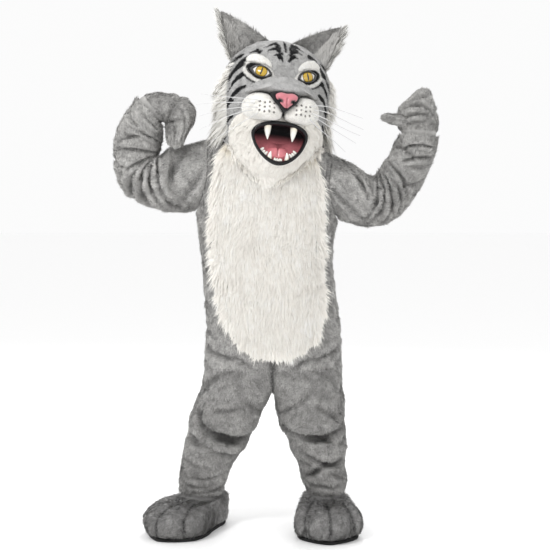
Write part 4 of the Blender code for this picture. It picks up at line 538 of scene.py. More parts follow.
def rim_point(turn, lift):
    """A point of the head's lower rim, lifted off the suit that it rests on."""
    angle, height = rim_angle(turn), rim_height(turn)
    out = outward(suit_round, angle, height)
    near = RIM_LIFT - RIM_DIP * (1.0 - ease(np.abs(angle) / RIM_DIP_TURN))
    return suit_round(angle, height) + out * (near + over_belly(angle) + lift)[..., None]


def clear_of_suit(points, gap):
    """Points moved level and outwards where they would come nearer to the suit than a gap."""
    height = points[..., 2]
    for _ in range(3):
        height = points[..., 2] - lean_at(height) * points[..., 0]
    right, left, front, back, power = columns_at(TORSO, np.minimum(height, NECK_Z))
    x, y = points[..., 0] - (left + right) / 2, points[..., 1]
    reach = np.where(y < 0.0, front, back)
    size = ((np.abs(x) * 2 / (left - right)) ** power + (np.abs(y) / reach) ** power) ** (1.0 / power)
    radius = np.hypot(x, y)
    rise = over_belly(np.arctan2(x, -y)) * ease((0.045 - height) / 0.06)
    push = np.maximum(radius / size + gap + rise - radius, 0.0) * (height < NECK_Z)
    moved = points.copy()
    moved[..., 0] += x / radius * push
    moved[..., 1] += y / radius * push
    return moved


def head_point(turn, part):
    """A point of the head's outside; part runs from 0 at the neck rim to 1 at the crown."""
    low = rim_height(turn) - HEAD_PIVOT[2]
    height = low + part * (HEAD_TOP - low)
    form = clear_of_suit(from_head(head_form(turn, height)), RIM_LIFT + HEAD_WALL + 0.003)
    rim = rim_point(turn, HEAD_WALL)
    share = settle(part / SKIRT_SHARE)[..., None]
    return rim * (1.0 - share) + form * share


def mouth_outline(angle, inset):
    """x and height of the mouth's edge in the head's frame, moved inwards by inset."""
    tall = (MOUTH_TOP - MOUTH_BOTTOM) / 2 - inset
    rise = bulge(np.sin(angle), 0.8)
    taper = 1.0 - MOUTH_TAPER * (1.0 - rise) / 2
    x = (MOUTH_HALF - inset) * np.cos(angle) * taper
    return x, MOUTH_MIDDLE + tall * rise


def mirrored(outline, side):
    """An outline on the side that 1 or -1 names."""
    return [(side * x, height) for x, height in outline]


def curve_through(points, steps):
    """A closed smooth outline through a few points."""
    points = np.array(points)
    rows = np.concatenate([points[-2:], points, points[:3]])
    knots = np.arange(len(rows)) - 2.0
    table = np.concatenate([knots[:, None], rows], axis=1)
    at = np.arange(steps) * len(points) / steps
    return smooth(table, at)


def scaled(outline, centre, factor):
    centre = np.array(centre)
    return centre + (np.array(outline) - centre) * factor


# Colours in linear light

BLACK = (0.010, 0.010, 0.011)
GREY = (0.505, 0.497, 0.482)
HEAD_GREY = (0.495, 0.491, 0.484)
# The suit's grey darkened by painted shade, for the foot covers.
FOOT_SHADE_GREY = (0.345, 0.340, 0.334)
WHITE = (0.890, 0.860, 0.806)
BRIGHT_WHITE = (0.910, 0.890, 0.845)
# Painted shade in the ear's cup.
EAR_SHADE_GREY = (0.120, 0.120, 0.120)
PINK = (0.560, 0.170, 0.200)
DARK_PINK = (0.200, 0.035, 0.045)
TONGUE_PINK = (0.740, 0.225, 0.255)
IRIS = (0.640, 0.400, 0.006)


def mix(first, second, share):
    """Two colours, or arrays of them, mixed point by point."""
    share = np.asarray(share, float)[..., None]
    return np.asarray(first, float) * (1.0 - share) + np.asarray(second, float) * share


def tint_cloth(name, rough, sheen, grain, bump, coat=0.0, coat_rough=0.1, patchy=1.0):
    """A finish that takes its colour from the mesh's tint, mottled and bumped by noise.

    grain is the size of the mottling in metres, bump its height and patchy its strength.
    """
    made = bpy.data.materials.new(name)
    made.use_nodes = True
    nodes, links = made.node_tree.nodes, made.node_tree.links

    def node(kind, values, operation=None):
        new = nodes.new("ShaderNode" + kind)
        if operation is not None:
            new.operation = operation
        for label, value in values.items():
            new.inputs[label].default_value = value
        return new

    shader = nodes["Principled BSDF"]
    for label, value in (("Roughness", rough), ("Sheen Weight", sheen), ("Sheen Roughness", 0.5),
                         ("Coat Weight", coat), ("Coat Roughness", coat_rough),
                         ("Specular IOR Level", 0.5 if coat > 0.2 else 0.15)):
        shader.inputs[label].default_value = value
    tint = node("Attribute", {})
    tint.attribute_name = "tint"
    place = node("TexCoord", {})
    fine = node("TexNoise", {"Scale": 1.0 / grain, "Detail": 4.0})
    broad = node("TexNoise", {"Scale": 0.16 / grain, "Detail": 3.0})
    levels = node("MapRange", {"To Min": 1.0 - 0.22 * patchy, "To Max": 1.0 + 0.18 * patchy})
    wide = node("MapRange", {"To Min": 1.0 - 0.16 * patchy, "To Max": 1.0 + 0.12 * patchy})
    both = node("Math", {}, "MULTIPLY")
    shade = node("VectorMath", {}, "SCALE")
    height = node("Bump", {"Distance": bump, "Strength": 0.8})
    for giver, output, taker, socket in (
            (place, "Object", fine, "Vector"), (place, "Object", broad, "Vector"),
            (fine, "Fac", levels, "Value"), (broad, "Fac", wide, "Value"),
            (levels, "Result", both, 0), (wide, "Result", both, 1),
            (tint, "Color", shade, "Vector"), (both, "Value", shade, "Scale"),
            (shade, "Vector", shader, "Base Color"), (fine, "Fac", height, "Height"),
            (height, "Normal", shader, "Normal")):
        links.new(giver.outputs[output], taker.inputs[socket])
    return made


PLUSH = tint_cloth("plush", 0.95, 0.10, 0.006, 0.0016)
LONG_FUR = tint_cloth("long_fur", 0.80, 0.08, 0.010, 0.0004, patchy=0.25)
RUBBER = tint_cloth("rubber", 0.32, 0.0, 0.012, 0.0004, coat=0.5, coat_rough=0.25)
GLOSS = tint_cloth("gloss", 0.22, 0.0, 0.020, 0.0001, coat=1.0, coat_rough=0.04)
VINYL = tint_cloth("lip_vinyl", 0.30, 0.0, 0.012, 0.0004, coat=0.2, coat_rough=0.12)
SOLE = tint_cloth("sole", 0.70, 0.0, 0.003, 0.0010)
METAL = tint_cloth("zip_metal", 0.32, 0.0, 0.004, 0.0002)
METAL.node_tree.nodes["Principled BSDF"].inputs["Metallic"].default_value = 1.0
for link in list(METAL.node_tree.links):
    if link.from_socket.name == "Color":
        METAL.node_tree.links.remove(link)
METAL.node_tree.nodes["Vector Math"].inputs["Vector"].default_value = (0.46, 0.46, 0.47)


# Meshes

DOWN, SIDEWAYS = np.array((0.0, 0.0, -1.0)), np.array((1.0, 0.0, 0.0))


def placed(name, data):
    """A new object in the scene."""
    thing = bpy.data.objects.new(name, data)
    bpy.context.scene.collection.objects.link(thing)
    return thing


def add_mesh(name, points, faces, finish, tint, normals=None):
    """A mesh from arrays: faces is a list of index arrays, tint one colour, or one for each point."""
    points = np.ascontiguousarray(points, dtype=np.float32)
    corners = np.concatenate([block.ravel() for block in faces]).astype(np.int32)
    sizes = np.concatenate([np.full(len(block), block.shape[1]) for block in faces])
    starts = np.concatenate([[0], np.cumsum(sizes)[:-1]]).astype(np.int32)
    mesh = bpy.data.meshes.new(name)
    mesh.vertices.add(len(points))
    mesh.vertices.foreach_set("co", points.ravel())
    mesh.loops.add(len(corners))
    mesh.loops.foreach_set("vertex_index", corners)
    mesh.polygons.add(len(starts))
    mesh.polygons.foreach_set("loop_start", starts)
    mesh.update(calc_edges=True)
    mesh.shade_smooth()
    layer = mesh.color_attributes.new("tint", "FLOAT_COLOR", "POINT")
    colours = np.ones((len(points), 4), dtype=np.float32)
    colours[:, :3] = tint
    layer.data.foreach_set("color", colours.ravel())
    if normals is not None:
        mesh.normals_split_custom_set_from_vertices(np.asarray(normals, dtype=np.float32).tolist())
    mesh.materials.append(finish)
    piece = placed(name, mesh)
    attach(piece, "suit")
    return piece


def dress(piece, node):
    """Hides the solid that a piece stands in for."""
    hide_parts(node)


def grid_quads(rows, columns, ring):
    """Corner indices of a grid's faces, as rows by columns by 4."""
    row, column = np.meshgrid(np.arange(rows - 1), np.arange(columns if ring else columns - 1), indexing="ij")
    after = (column + 1) % columns
    return np.stack([row * columns + column, row * columns + after,
                     (row + 1) * columns + after, (row + 1) * columns + column], axis=-1)


def quad_areas(grid, quads):
    """The area of each face of a grid."""
    corners = grid.reshape(-1, 3)[quads]
    return np.linalg.norm(np.cross(corners[..., 2, :] - corners[..., 0, :],
                                   corners[..., 3, :] - corners[..., 1, :]), axis=-1) / 2


def quad_middles(grid):
    """The middle of each face of a grid."""
    return (grid[:-1, :-1] + grid[1:, :-1] + grid[:-1, 1:] + grid[1:, 1:]) / 4


def stack_faces(rows, columns, shift=0):
    """Faces of a stack of rings, its first lid and its last."""
    ring = np.arange(columns)
    return [grid_quads(rows, columns, True).reshape(-1, 4) + shift, (shift + ring[::-1])[None],
            (shift + (rows - 1) * columns + ring)[None]]


def grid_out(grid, ring):
    """Unit vectors out of a grid: away from the middle of its rows."""
    around = np.roll(grid, -1, axis=1) - np.roll(grid, 1, axis=1) if ring else np.gradient(grid, axis=1)
    across = unit(np.cross(around, np.gradient(grid, axis=0)))
    away = grid - grid.mean(axis=1, keepdims=True)
    return across if (across * away).sum() > 0.0 else -across


def cloth(name, grid, finish, tint, ring=False, thick=0.0015, keep=None):
    """A thin closed shell under a grid of points; keep drops faces, as for the mouth's hole."""
    rows, columns = grid.shape[:2]
    out = grid_out(grid, ring)
    points = np.concatenate([grid.reshape(-1, 3), (grid - out * thick).reshape(-1, 3)])
    quads = grid_quads(rows, columns, ring)
    first = quads[0, 0]
    corner = grid.reshape(-1, 3)[first]
    facing = np.cross(corner[1] - corner[0], corner[3] - corner[0]) @ out.reshape(-1, 3)[first[0]]
    mask = np.ones(quads.shape[:2], bool) if keep is None else keep
    shift = rows * columns
    top = quads[mask]
    edges = []
    padded = np.zeros((mask.shape[0] + 2, mask.shape[1] + 2), bool)
    padded[1:-1, 1:-1] = mask
    if ring:
        padded[:, 0], padded[:, -1] = padded[:, -2], padded[:, 1]
    for gap, pair in ((padded[:-2, 1:-1], (1, 0)), (padded[2:, 1:-1], (3, 2)),
                      (padded[1:-1, :-2], (0, 3)), (padded[1:-1, 2:], (2, 1))):
        rim = quads[mask & ~gap]
        a, b = rim[:, pair[0]], rim[:, pair[1]]
        edges.append(np.stack([a, b, b + shift, a + shift], axis=-1))
    faces = [top, top[:, ::-1] + shift] + edges
    if facing < 0.0:
        faces = [block[:, ::-1] for block in faces]
    colours = np.broadcast_to(np.asarray(tint, float), grid.shape).reshape(-1, 3)
    return add_mesh(name, points, faces, finish, np.concatenate([colours, colours]))


def ripple(points, size, seed, waves=24):
    """Smooth uneven values, about -1 to 1, that change over a length of size."""
    rng = np.random.default_rng(seed)
    ways = rng.normal(size=(waves, 3)) / size
    shifts = rng.uniform(0.0, 2.0 * math.pi, waves)
    total = np.zeros(points.shape[:-1])
    for way, shift in zip(ways, shifts):
        total += np.sin(points @ way + shift)
    return total / math.sqrt(waves)


def creases(table, along, around, girth=None):
    """How far the listed creases move a cloth: each is a valley between two soft lips.

    along and around are metres over the cloth; girth is the way round where it is a ring.
    """
    total = np.zeros(np.broadcast(along, around).shape)
    for row in table:
        at_along, at_around, slant, half, wide, depth, bow = row
        cosine, sine = math.cos(math.radians(slant)), math.sin(math.radians(slant))
        ahead, beside = along - at_along, around - at_around
        if girth is not None:
            beside = (beside + girth / 2) % girth - girth / 2
        run = beside * cosine + ahead * sine
        off = ahead * cosine - beside * sine + bow * run * run / half
        fade = np.exp(-1.6 * (run / half) ** 4)
        valley = np.exp(-(off / wide) ** 2)
        lips = np.exp(-((np.abs(off) - 2.0 * wide) / (1.1 * wide)) ** 2)
        total += 1.6 * depth * fade * (0.5 * lips - valley)
    return total


def scatter(grid, ring, count, seed, keep=None):
    """Places spread evenly over a grid: row, column, and the shares between them."""
    rng = np.random.default_rng(seed)
    quads = grid_quads(*grid.shape[:2], ring)
    area = quad_areas(grid, quads)
    if keep is not None:
        area = area * keep
    total = np.cumsum(area.ravel())
    picks = np.searchsorted(total, (np.arange(count) + rng.uniform(size=count)) / count * total[-1])
    picks = np.minimum(picks, area.size - 1)
    return quads.reshape(-1, 4)[picks], rng.uniform(size=count), rng.uniform(size=count)


def over(values, spots):
    """Values of a grid's points, taken at scattered places."""
    quads, up, beside = spots
    flat = values.reshape(-1, values.shape[-1])
    low = flat[quads[:, 0]] * (1 - beside)[:, None] + flat[quads[:, 1]] * beside[:, None]
    high = flat[quads[:, 3]] * (1 - beside)[:, None] + flat[quads[:, 2]] * beside[:, None]
    return low * (1 - up)[:, None] + high * up[:, None]


def tufts(roots, size, rng):
    """The number of the cell that each root lies in."""
    cell = np.floor(roots / size + rng.uniform(size=3)).astype(np.int64)
    return np.unique(cell @ np.array((1, 1009, 1018081)), return_inverse=True)[1]


def hair(name, roots, out, flow, tint, length, width, lift, seed, steps=1, spread=0.5, swirl=0.5,
         swirl_size=0.05, droop=0.0, gather=0.0, tuft=0.012, ragged=0.35, depth=0.38, finish=None, soft=0.70):
    """Pile or long fur as flat blades, one triangle each, or steps pieces each where steps is more.

    lift is how far a blade stands off the cloth against how far it lies along it; swirl turns
    blades together over patches; gather draws the tips of each tuft together, and ragged makes
    tufts longer, shorter, lighter and darker than their neighbours. depth is how much darker the
    blades are at their roots.
    """
    rng = np.random.default_rng(seed)
    count = len(roots)
    along = unit(flow - out * (flow * out).sum(axis=-1, keepdims=True))
    turn = rng.normal(size=count) * spread + swirl * ripple(roots, swirl_size, seed + 1)
    aside = np.cross(out, along)
    along = along * np.cos(turn)[:, None] + aside * np.sin(turn)[:, None]
    long = (np.broadcast_to(length, count) * rng.uniform(0.6, 1.25, count))[:, None]
    rise = (np.broadcast_to(lift, count) * rng.uniform(0.6, 1.4, count))[:, None]
    way = unit(along + out * rise)
    side = unit(np.cross(way, out + rng.normal(size=(count, 3)) * 0.35))
    pull = np.zeros((count, 3))
    if gather > 0.0:
        index = tufts(roots, tuft, rng)
        many = np.bincount(index)
        middle = np.stack([np.bincount(index, roots[:, axis]) / many for axis in range(3)], axis=-1)
        pull = (middle[index] - roots) * gather
    index = tufts(roots, 1.3 * tuft, rng)
    picks = rng.uniform(-1.0, 1.0, (index.max() + 1, 5))[index]
    long = long * (1.0 + ragged * picks[:, :1])
    tint = tint * (1.0 + 0.50 * depth * picks[:, 1:2])
    wide = np.broadcast_to(width, count)[:, None]
    points, colours = [], []
    shade = 1.0 + rng.uniform(-0.75, 0.65, count)[:, None] * depth
    for step in range(steps + 1):
        part = step / steps
        bend = DOWN * droop * part * part * long
        middle = roots + way * long * part + bend + pull * part ** 1.5 - out * 0.0006 * (1 - part)
        colour = tint * shade * (1.0 - depth + (depth + 0.08) * part)
        if step < steps:
            half = side * wide * 0.5 * (1.0 - 0.35 * part)
            points += [middle - half, middle + half]
            colours += [colour, colour]
        else:
            points.append(middle)
            colours.append(colour)
    each = 2 * steps + 1
    points = np.stack(points, axis=1)
    base = np.arange(count)[:, None] * each
    faces = [base + 2 * steps + np.array((-2, -1, 0))]
    faces += [base + 2 * step + np.array((0, 1, 3, 2)) for step in range(steps - 1)]
    facing = unit(np.cross(side, way))
    facing = facing * np.where((facing * out).sum(axis=-1, keepdims=True) < 0.0, -1.0, 1.0)
    loose = rng.normal(size=(count, 3)) * 0.4 + picks[:, 2:]
    normal = unit(out * soft + (facing + loose) * (1.0 - soft))
    normals = np.repeat(normal, each, axis=0)
    return add_mesh(name, points.reshape(-1, 3), faces, finish or PLUSH,
                    np.clip(np.stack(colours, axis=1).reshape(-1, 3), 0.0, 0.97), normals)


def pile(name, grid, ring, count, flow, tint, length, width, lift, seed, keep=None, **more):
    """Pile over the whole of a grid; flow and tint are one value, or one for each point."""
    spots = scatter(grid, ring, count, seed, keep)
    out = over(grid_out(grid, ring), spots)
    roots = over(grid, spots)
    flows = over(np.broadcast_to(flow, grid.shape), spots)
    tints = tint(roots) if callable(tint) else over(np.broadcast_to(tint, grid.shape), spots)
    return hair(name, roots, unit(out), flows, tints, length, width, lift, seed, **more)


def mottled(points, colour, seed, amount=0.10, size=0.03):
    """A colour for each point, lighter and darker in patches, like brushed pile."""
    value = 1.0 + amount * ripple(points, size, seed) + amount * ripple(points, size / 4.5, seed + 7)
    return np.asarray(colour, float) * np.clip(value, 0.6, 1.4)[..., None]


def crease_shade(moved, deep, amount, top=1.0):
    """Painted shade: a factor for the tint, lower where the cloth is pressed in."""
    return (top - amount * np.clip(-moved / deep, 0.0, 1.0))[..., None]


# Plush pieces: how far the cloth lies under the solid's surface, and how much painted shade darkens it under
# its pile
PILE_DEEP, SNUG_DEEP = 0.0040, 0.0036
UNDER_PILE_SHADE = 0.8
SHEETS = []


def plush_piece(name, node, slot, grid, tint, count, flow, size, seed, held=None, ring=True, fur_tint=None,
                keep=None, tuft=0.010, **more):
    """A cloth piece with its pile, added to SHEETS with held where held is given.

    size is the pile's length, width and lift.
    """
    # The cloth under the pile is darkened by painted shade.
    panel = cloth(name, grid, PLUSH, tint * UNDER_PILE_SHADE, ring=ring)
    fur = pile(name.replace("_skin", "") + "_pile", grid, ring, count, flow, fur_tint or tint, *size, seed,
               keep=keep, spread=0.5, tuft=tuft, **more)
    dress(panel, node)
    if held is not None:
        SHEETS.append((panel, grid, ring, held, [fur], None))
    return panel


# Body suit

# Soft creases on the body.
# columns: height, metres round from the front, slant, half length, half width, depth, bow
FRONT_CREASES = (
    (-0.700, 0.190, 18.0, 0.110, 0.012, 0.005, -0.10),
    (-0.700, -0.190, -16.0, 0.110, 0.012, 0.005, -0.10),
    (-0.640, 0.250, 8.0, 0.080, 0.010, 0.004, 0.10),
    (-0.620, -0.260, -12.0, 0.090, 0.010, 0.004, 0.10),
    (-0.560, 0.290, 22.0, 0.070, 0.010, 0.004, 0.0),
    (-0.500, -0.290, -20.0, 0.080, 0.011, 0.004, 0.0),
    (-0.430, 0.270, 14.0, 0.070, 0.010, 0.003, 0.0),
    (-0.360, -0.280, -26.0, 0.080, 0.012, 0.004, 0.1),
    (-0.300, 0.290, 30.0, 0.070, 0.010, 0.004, 0.1),
    (-0.240, 0.250, 62.0, 0.080, 0.010, 0.005, 0.0),
    (-0.230, -0.250, -64.0, 0.080, 0.010, 0.005, 0.0),
    (-0.120, 0.210, 78.0, 0.090, 0.009, 0.006, 0.1),
    (-0.110, -0.215, -80.0, 0.090, 0.009, 0.006, 0.1),
    (0.010, 0.190, 66.0, 0.060, 0.010, 0.004, 0.0),
    (0.012, -0.190, -66.0, 0.060, 0.010, 0.004, 0.0),
    (-0.745, 0.060, 40.0, 0.060, 0.010, 0.005, 0.0),
    (-0.745, -0.060, -40.0, 0.060, 0.010, 0.005, 0.0),
)
BACK_CREASES = (
    (-0.690, 0.520, 14.0, 0.110, 0.013, 0.006, 0.10),
    (-0.690, -0.520, -14.0, 0.110, 0.013, 0.006, 0.10),
    (-0.600, 0.450, -10.0, 0.100, 0.012, 0.005, -0.10),
    (-0.590, -0.460, 12.0, 0.100, 0.012, 0.005, -0.10),
    (-0.530, 0.560, 8.0, 0.080, 0.011, 0.005, 0.0),
    (-0.500, -0.540, -8.0, 0.080, 0.011, 0.005, 0.0),
    (-0.440, 0.470, -18.0, 0.090, 0.011, 0.004, 0.0),
    (-0.400, -0.460, 20.0, 0.090, 0.012, 0.005, 0.1),
    (-0.330, 0.560, 24.0, 0.070, 0.010, 0.004, 0.0),
    (-0.250, 0.420, -58.0, 0.090, 0.010, 0.006, 0.0),
    (-0.250, -0.420, 58.0, 0.090, 0.010, 0.006, 0.0),
    (-0.110, 0.440, -72.0, 0.090, 0.010, 0.006, 0.1),
    (-0.120, -0.440, 74.0, 0.090, 0.010, 0.006, 0.1),
    (-0.180, 0.560, -40.0, 0.080, 0.012, 0.004, 0.0),
    (-0.160, -0.560, 42.0, 0.080, 0.012, 0.004, 0.0),
)
TORSO_REACH = 0.20
HEM_SHADE_Z = 0.010
FINE_HEIGHTS = np.unique(np.round(np.concatenate([
    np.arange(HEM_Z, NECK_Z, 0.013), [NECK_Z, BELLY_BOTTOM],
    ARM_Z - ARM_HALF_Z * np.cos(np.arange(25) * math.pi / 24)]), 5))
FINE_HEIGHTS = FINE_HEIGHTS[np.concatenate([[True], np.diff(FINE_HEIGHTS) > 0.0006])]


def spread(starts, ends, columns):
    """Rows of even steps from each start to its end."""
    part = np.linspace(0.0, 1.0, columns)
    return starts[:, None] * (1.0 - part) + ends[:, None] * part


def arm_edge(heights):
    """Half the armhole's width as an angle, 0 above and below it."""
    inside = 1.0 - ((heights - ARM_Z) / ARM_HALF_Z) ** 2
    return ARM_HALF_TURN * np.sqrt(np.clip(inside, 0.0, 1.0))


def belly_edges(heights):
    """The belly panel's two edges as angles; both are 0 below it."""
    edges = np.radians(smooth(BELLY, np.maximum(heights, BELLY_BOTTOM)))
    share = ease((heights - BELLY_BOTTOM + 0.010) / 0.010)
    return edges[:, 0] * share, edges[:, 1] * share


def above_edge(turns, level):
    """How far a point of the belly panel stands above the panel's lower edge."""
    height, right, left = np.array(BELLY[:8]).T
    degrees = np.degrees(turns)
    edge = np.where(degrees < 0, np.interp(-degrees, -right, height), np.interp(degrees, left, height))
    return np.clip(level - np.maximum(edge, BELLY_BOTTOM + 0.006), 0.0, None)


def torso_grid(turns, heights, table):
    """Points of a body panel under its pile, with its creases; they fade out at the seams."""
    level = np.broadcast_to(heights[:, None], turns.shape)
    face = torso_point(turns, level)
    out = outward(torso_point, turns, level)
    seam = np.minimum(np.abs(turns - turns[:, :1]), np.abs(turns[:, -1:] - turns))
    near = ease(seam / 0.10) * ease((level - HEM_Z) / 0.02) * ease((NECK_Z - level) / 0.03)
    moved = creases(table, level, turns * TORSO_REACH) + 0.0016 * ripple(face, 0.035, 5)
    moved = moved * near - 0.0008 * (1.0 - ease(seam / 0.045))
    return face + out * (moved - PILE_DEEP)[..., None], moved


def centre_shade(points):
    """Painted shade: darker pile along the seam under the belly panel and between the thighs."""
    x, y, height = np.moveaxis(points, -1, 0)
    near = np.exp(-((x - 0.002) / 0.0075) ** 2)
    span = ease((BELLY_BOTTOM + 0.020 - height) / 0.02) * ease((height - HEM_Z + CROTCH_DROP + 0.012) / 0.01)
    return (1.0 - 0.72 * near * span * (y < 0.0))[..., None]


def body_panel(name, node, turns, table, count, seed):
    """One panel of the body suit with its pile."""
    grid, moved = torso_grid(turns, FINE_HEIGHTS, table)
    # Painted shade in the creases and along the front centre under the belly panel.
    tint = mottled(grid, GREY, seed, 0.12) * crease_shade(moved, 0.008, 0.55) * centre_shade(grid)
    plush_piece(name, node, "grey_plush", grid, tint, count, DOWN, (0.012, 0.0031, 0.46), seed, "stretched",
                ring=False, swirl=0.45, gather=0.7)


def body_suit():
    """The two fronts, from the belly panel to the side seams, and the two backs, with the zip's slot."""
    right_edge, left_edge = belly_edges(FINE_HEIGHTS)
    arm = arm_edge(FINE_HEIGHTS)
    side, back = math.pi / 2 - arm, math.pi / 2 + arm
    tape = TAPE_HALF_TURN * ((FINE_HEIGHTS > TAPE_BOTTOM) & (FINE_HEIGHTS < TAPE_TOP))
    body_panel("front_left", "suit_front_left", spread(left_edge, side, 26), FRONT_CREASES, 20500, 11)
    body_panel("front_right", "suit_front_right", spread(right_edge, -side, 26), FRONT_CREASES, 20500, 12)
    body_panel("back_left", "suit_back_left", spread(back, math.pi - tape, 34), BACK_CREASES, 22000, 13)
    body_panel("back_right", "suit_back_right", spread(-back, tape - math.pi, 34), BACK_CREASES, 22000, 14)


def belly():
    """The white panel: a cloth base and long fur that hangs down over its edges."""
    heights = FINE_HEIGHTS[FINE_HEIGHTS >= BELLY_BOTTOM - 1e-6]
    right_edge, left_edge = belly_edges(heights)
    turns = spread(right_edge, left_edge, 44)
    level = np.broadcast_to(heights[:, None], turns.shape)
    face = torso_point(turns, level)
    out = outward(torso_point, turns, level)
    lump = 0.0022 * ripple(face, 0.05, 31)
    fade = ease((0.035 - level) / 0.06)
    grid = face + out * (0.001 + (lump + 0.002) * fade)[..., None]
    # Painted shadow under the bib's hem: a band of the belly's white darkened, most in blue, so that the
    # shadow looks warm.
    hem = np.exp(-((level - HEM_SHADE_Z - 0.09 * turns ** 2) / 0.020) ** 2)
    tint = mottled(grid, WHITE, 31, 0.02) * (1.0 - np.array((0.08, 0.11, 0.18)) * hem[..., None])
    panel = cloth("belly", grid, LONG_FUR, tint)
    away = DOWN + SIDEWAYS * (turns * 0.16)[..., None]
    spots = scatter(grid, False, 50000, 32)
    roots, normal = over(grid, spots), unit(over(out, spots))
    turn_there, level_there = over(np.stack([turns, level], axis=-1), spots).T
    top = ease((level_there + 0.03) / 0.10)
    length = np.minimum(0.034 - 0.016 * top, above_edge(turn_there, level_there) + 0.006)
    fur = hair("belly_fur", roots, normal, over(away, spots), over(tint, spots) * 1.02, length, 0.0026,
               0.25 - 0.12 * top, 33, spread=0.13, swirl=0.18, swirl_size=0.04, gather=0.55, tuft=0.011,
               ragged=0.30, depth=0.11, finish=LONG_FUR, soft=0.93)
    part = np.abs(np.linspace(-1.0, 1.0, 44))
    low = ease((BELLY_BOTTOM + 0.045 - heights) / 0.03)[:, None]
    rim = np.maximum(ease((part - 0.80) / 0.15), low)
    spots = scatter(grid, False, 5200, 34, keep=quad_middles(rim))
    lock_length = np.minimum(0.034 - 0.012 * ease((level + 0.03) / 0.10), above_edge(turns, level) + 0.011)
    aside = 0.06 + 0.34 * ease((level + 0.60) / 0.15)
    flow = away * np.array((1.0, 1.0, 0.6)) + (np.sign(turns) * aside)[..., None] * SIDEWAYS
    length = over(lock_length[..., None], spots)[:, 0]
    locks = hair("belly_locks", over(grid, spots), unit(over(out, spots)), over(flow, spots),
                 over(tint, spots) * 1.03, length, 0.0032, 0.34, 35, steps=2, spread=0.25, swirl=0.35,
                 swirl_size=0.03, droop=0.15, gather=0.9, tuft=0.015, ragged=0.55, depth=0.09,
                 finish=LONG_FUR, soft=0.92)
    dress(panel, "belly_panel")
    SHEETS.append((panel, grid, False, "stretched", [fur, locks], None))


def zip_tape():
    """Woven tape with a raised coil; the slider and its pull tab keep their solids."""
    heights = np.arange(TAPE_BOTTOM + 0.001, TAPE_TOP - 0.001, 0.0015)
    turns = np.linspace(math.pi - TAPE_HALF_TURN, math.pi + TAPE_HALF_TURN, 13)
    turn, level = np.meshgrid(turns, heights)
    face = torso_point(turn, level)
    out = outward(torso_point, turn, level)
    off = (turn - math.pi) / TAPE_HALF_TURN
    chain = np.exp(-(off / 0.22) ** 4)
    coil = chain * (0.0022 + 0.0009 * np.sin(level / 0.003 * 2.0 * math.pi + np.sign(off) * 1.6))
    grid = face + out * (coil - 0.0030)[..., None]
    tape = cloth("zip_tape", grid, SOLE, mix((0.05, 0.05, 0.052), (0.16, 0.16, 0.165), chain), thick=0.0012)
    dress(tape, "back_zip_tape")
    SHEETS.append((tape, grid, False, "stretched", [], None))


# Sleeves

# Creases on a sleeve. columns: metres along, metres round from the elbow pit (the front is +),
# slant, half length, half width, depth, bow
SLEEVE_CREASES_RIGHT = (
    (0.060, 0.170, 34.0, 0.080, 0.009, 0.007, 0.15),
    (0.100, 0.100, 20.0, 0.060, 0.009, 0.007, 0.10),
    (0.170, 0.150, -36.0, 0.140, 0.010, 0.012, 0.10),
    (0.208, 0.155, -38.0, 0.150, 0.009, 0.013, 0.08),
    (0.248, 0.170, -34.0, 0.130, 0.009, 0.011, 0.05),
    (0.292, 0.190, -28.0, 0.100, 0.009, 0.009, 0.0),
    (0.330, 0.230, -40.0, 0.070, 0.008, 0.007, 0.0),
    (0.350, 0.110, -10.0, 0.090, 0.008, 0.009, 0.0),
    (0.380, 0.230, 30.0, 0.070, 0.008, 0.006, 0.1),
    (0.425, 0.120, 10.0, 0.110, 0.008, 0.009, 0.1),
    (0.480, 0.190, -24.0, 0.080, 0.008, 0.007, 0.0),
    (0.520, 0.100, 14.0, 0.090, 0.008, 0.008, 0.0),
    (0.575, 0.180, 34.0, 0.080, 0.009, 0.007, 0.0),
    (0.620, 0.110, 20.0, 0.080, 0.008, 0.006, 0.0),
    (0.100, -0.150, -20.0, 0.120, 0.010, 0.009, 0.1),
    (0.180, -0.130, 8.0, 0.110, 0.009, 0.009, 0.0),
    (0.240, -0.210, -18.0, 0.080, 0.009, 0.007, 0.1),
    (0.300, -0.110, 4.0, 0.110, 0.009, 0.010, 0.0),
    (0.380, -0.150, -12.0, 0.110, 0.009, 0.009, 0.0),
    (0.450, -0.110, 16.0, 0.100, 0.009, 0.009, 0.1),
    (0.530, -0.170, -26.0, 0.090, 0.010, 0.008, 0.0),
    (0.600, -0.120, 12.0, 0.080, 0.009, 0.007, 0.0),
)
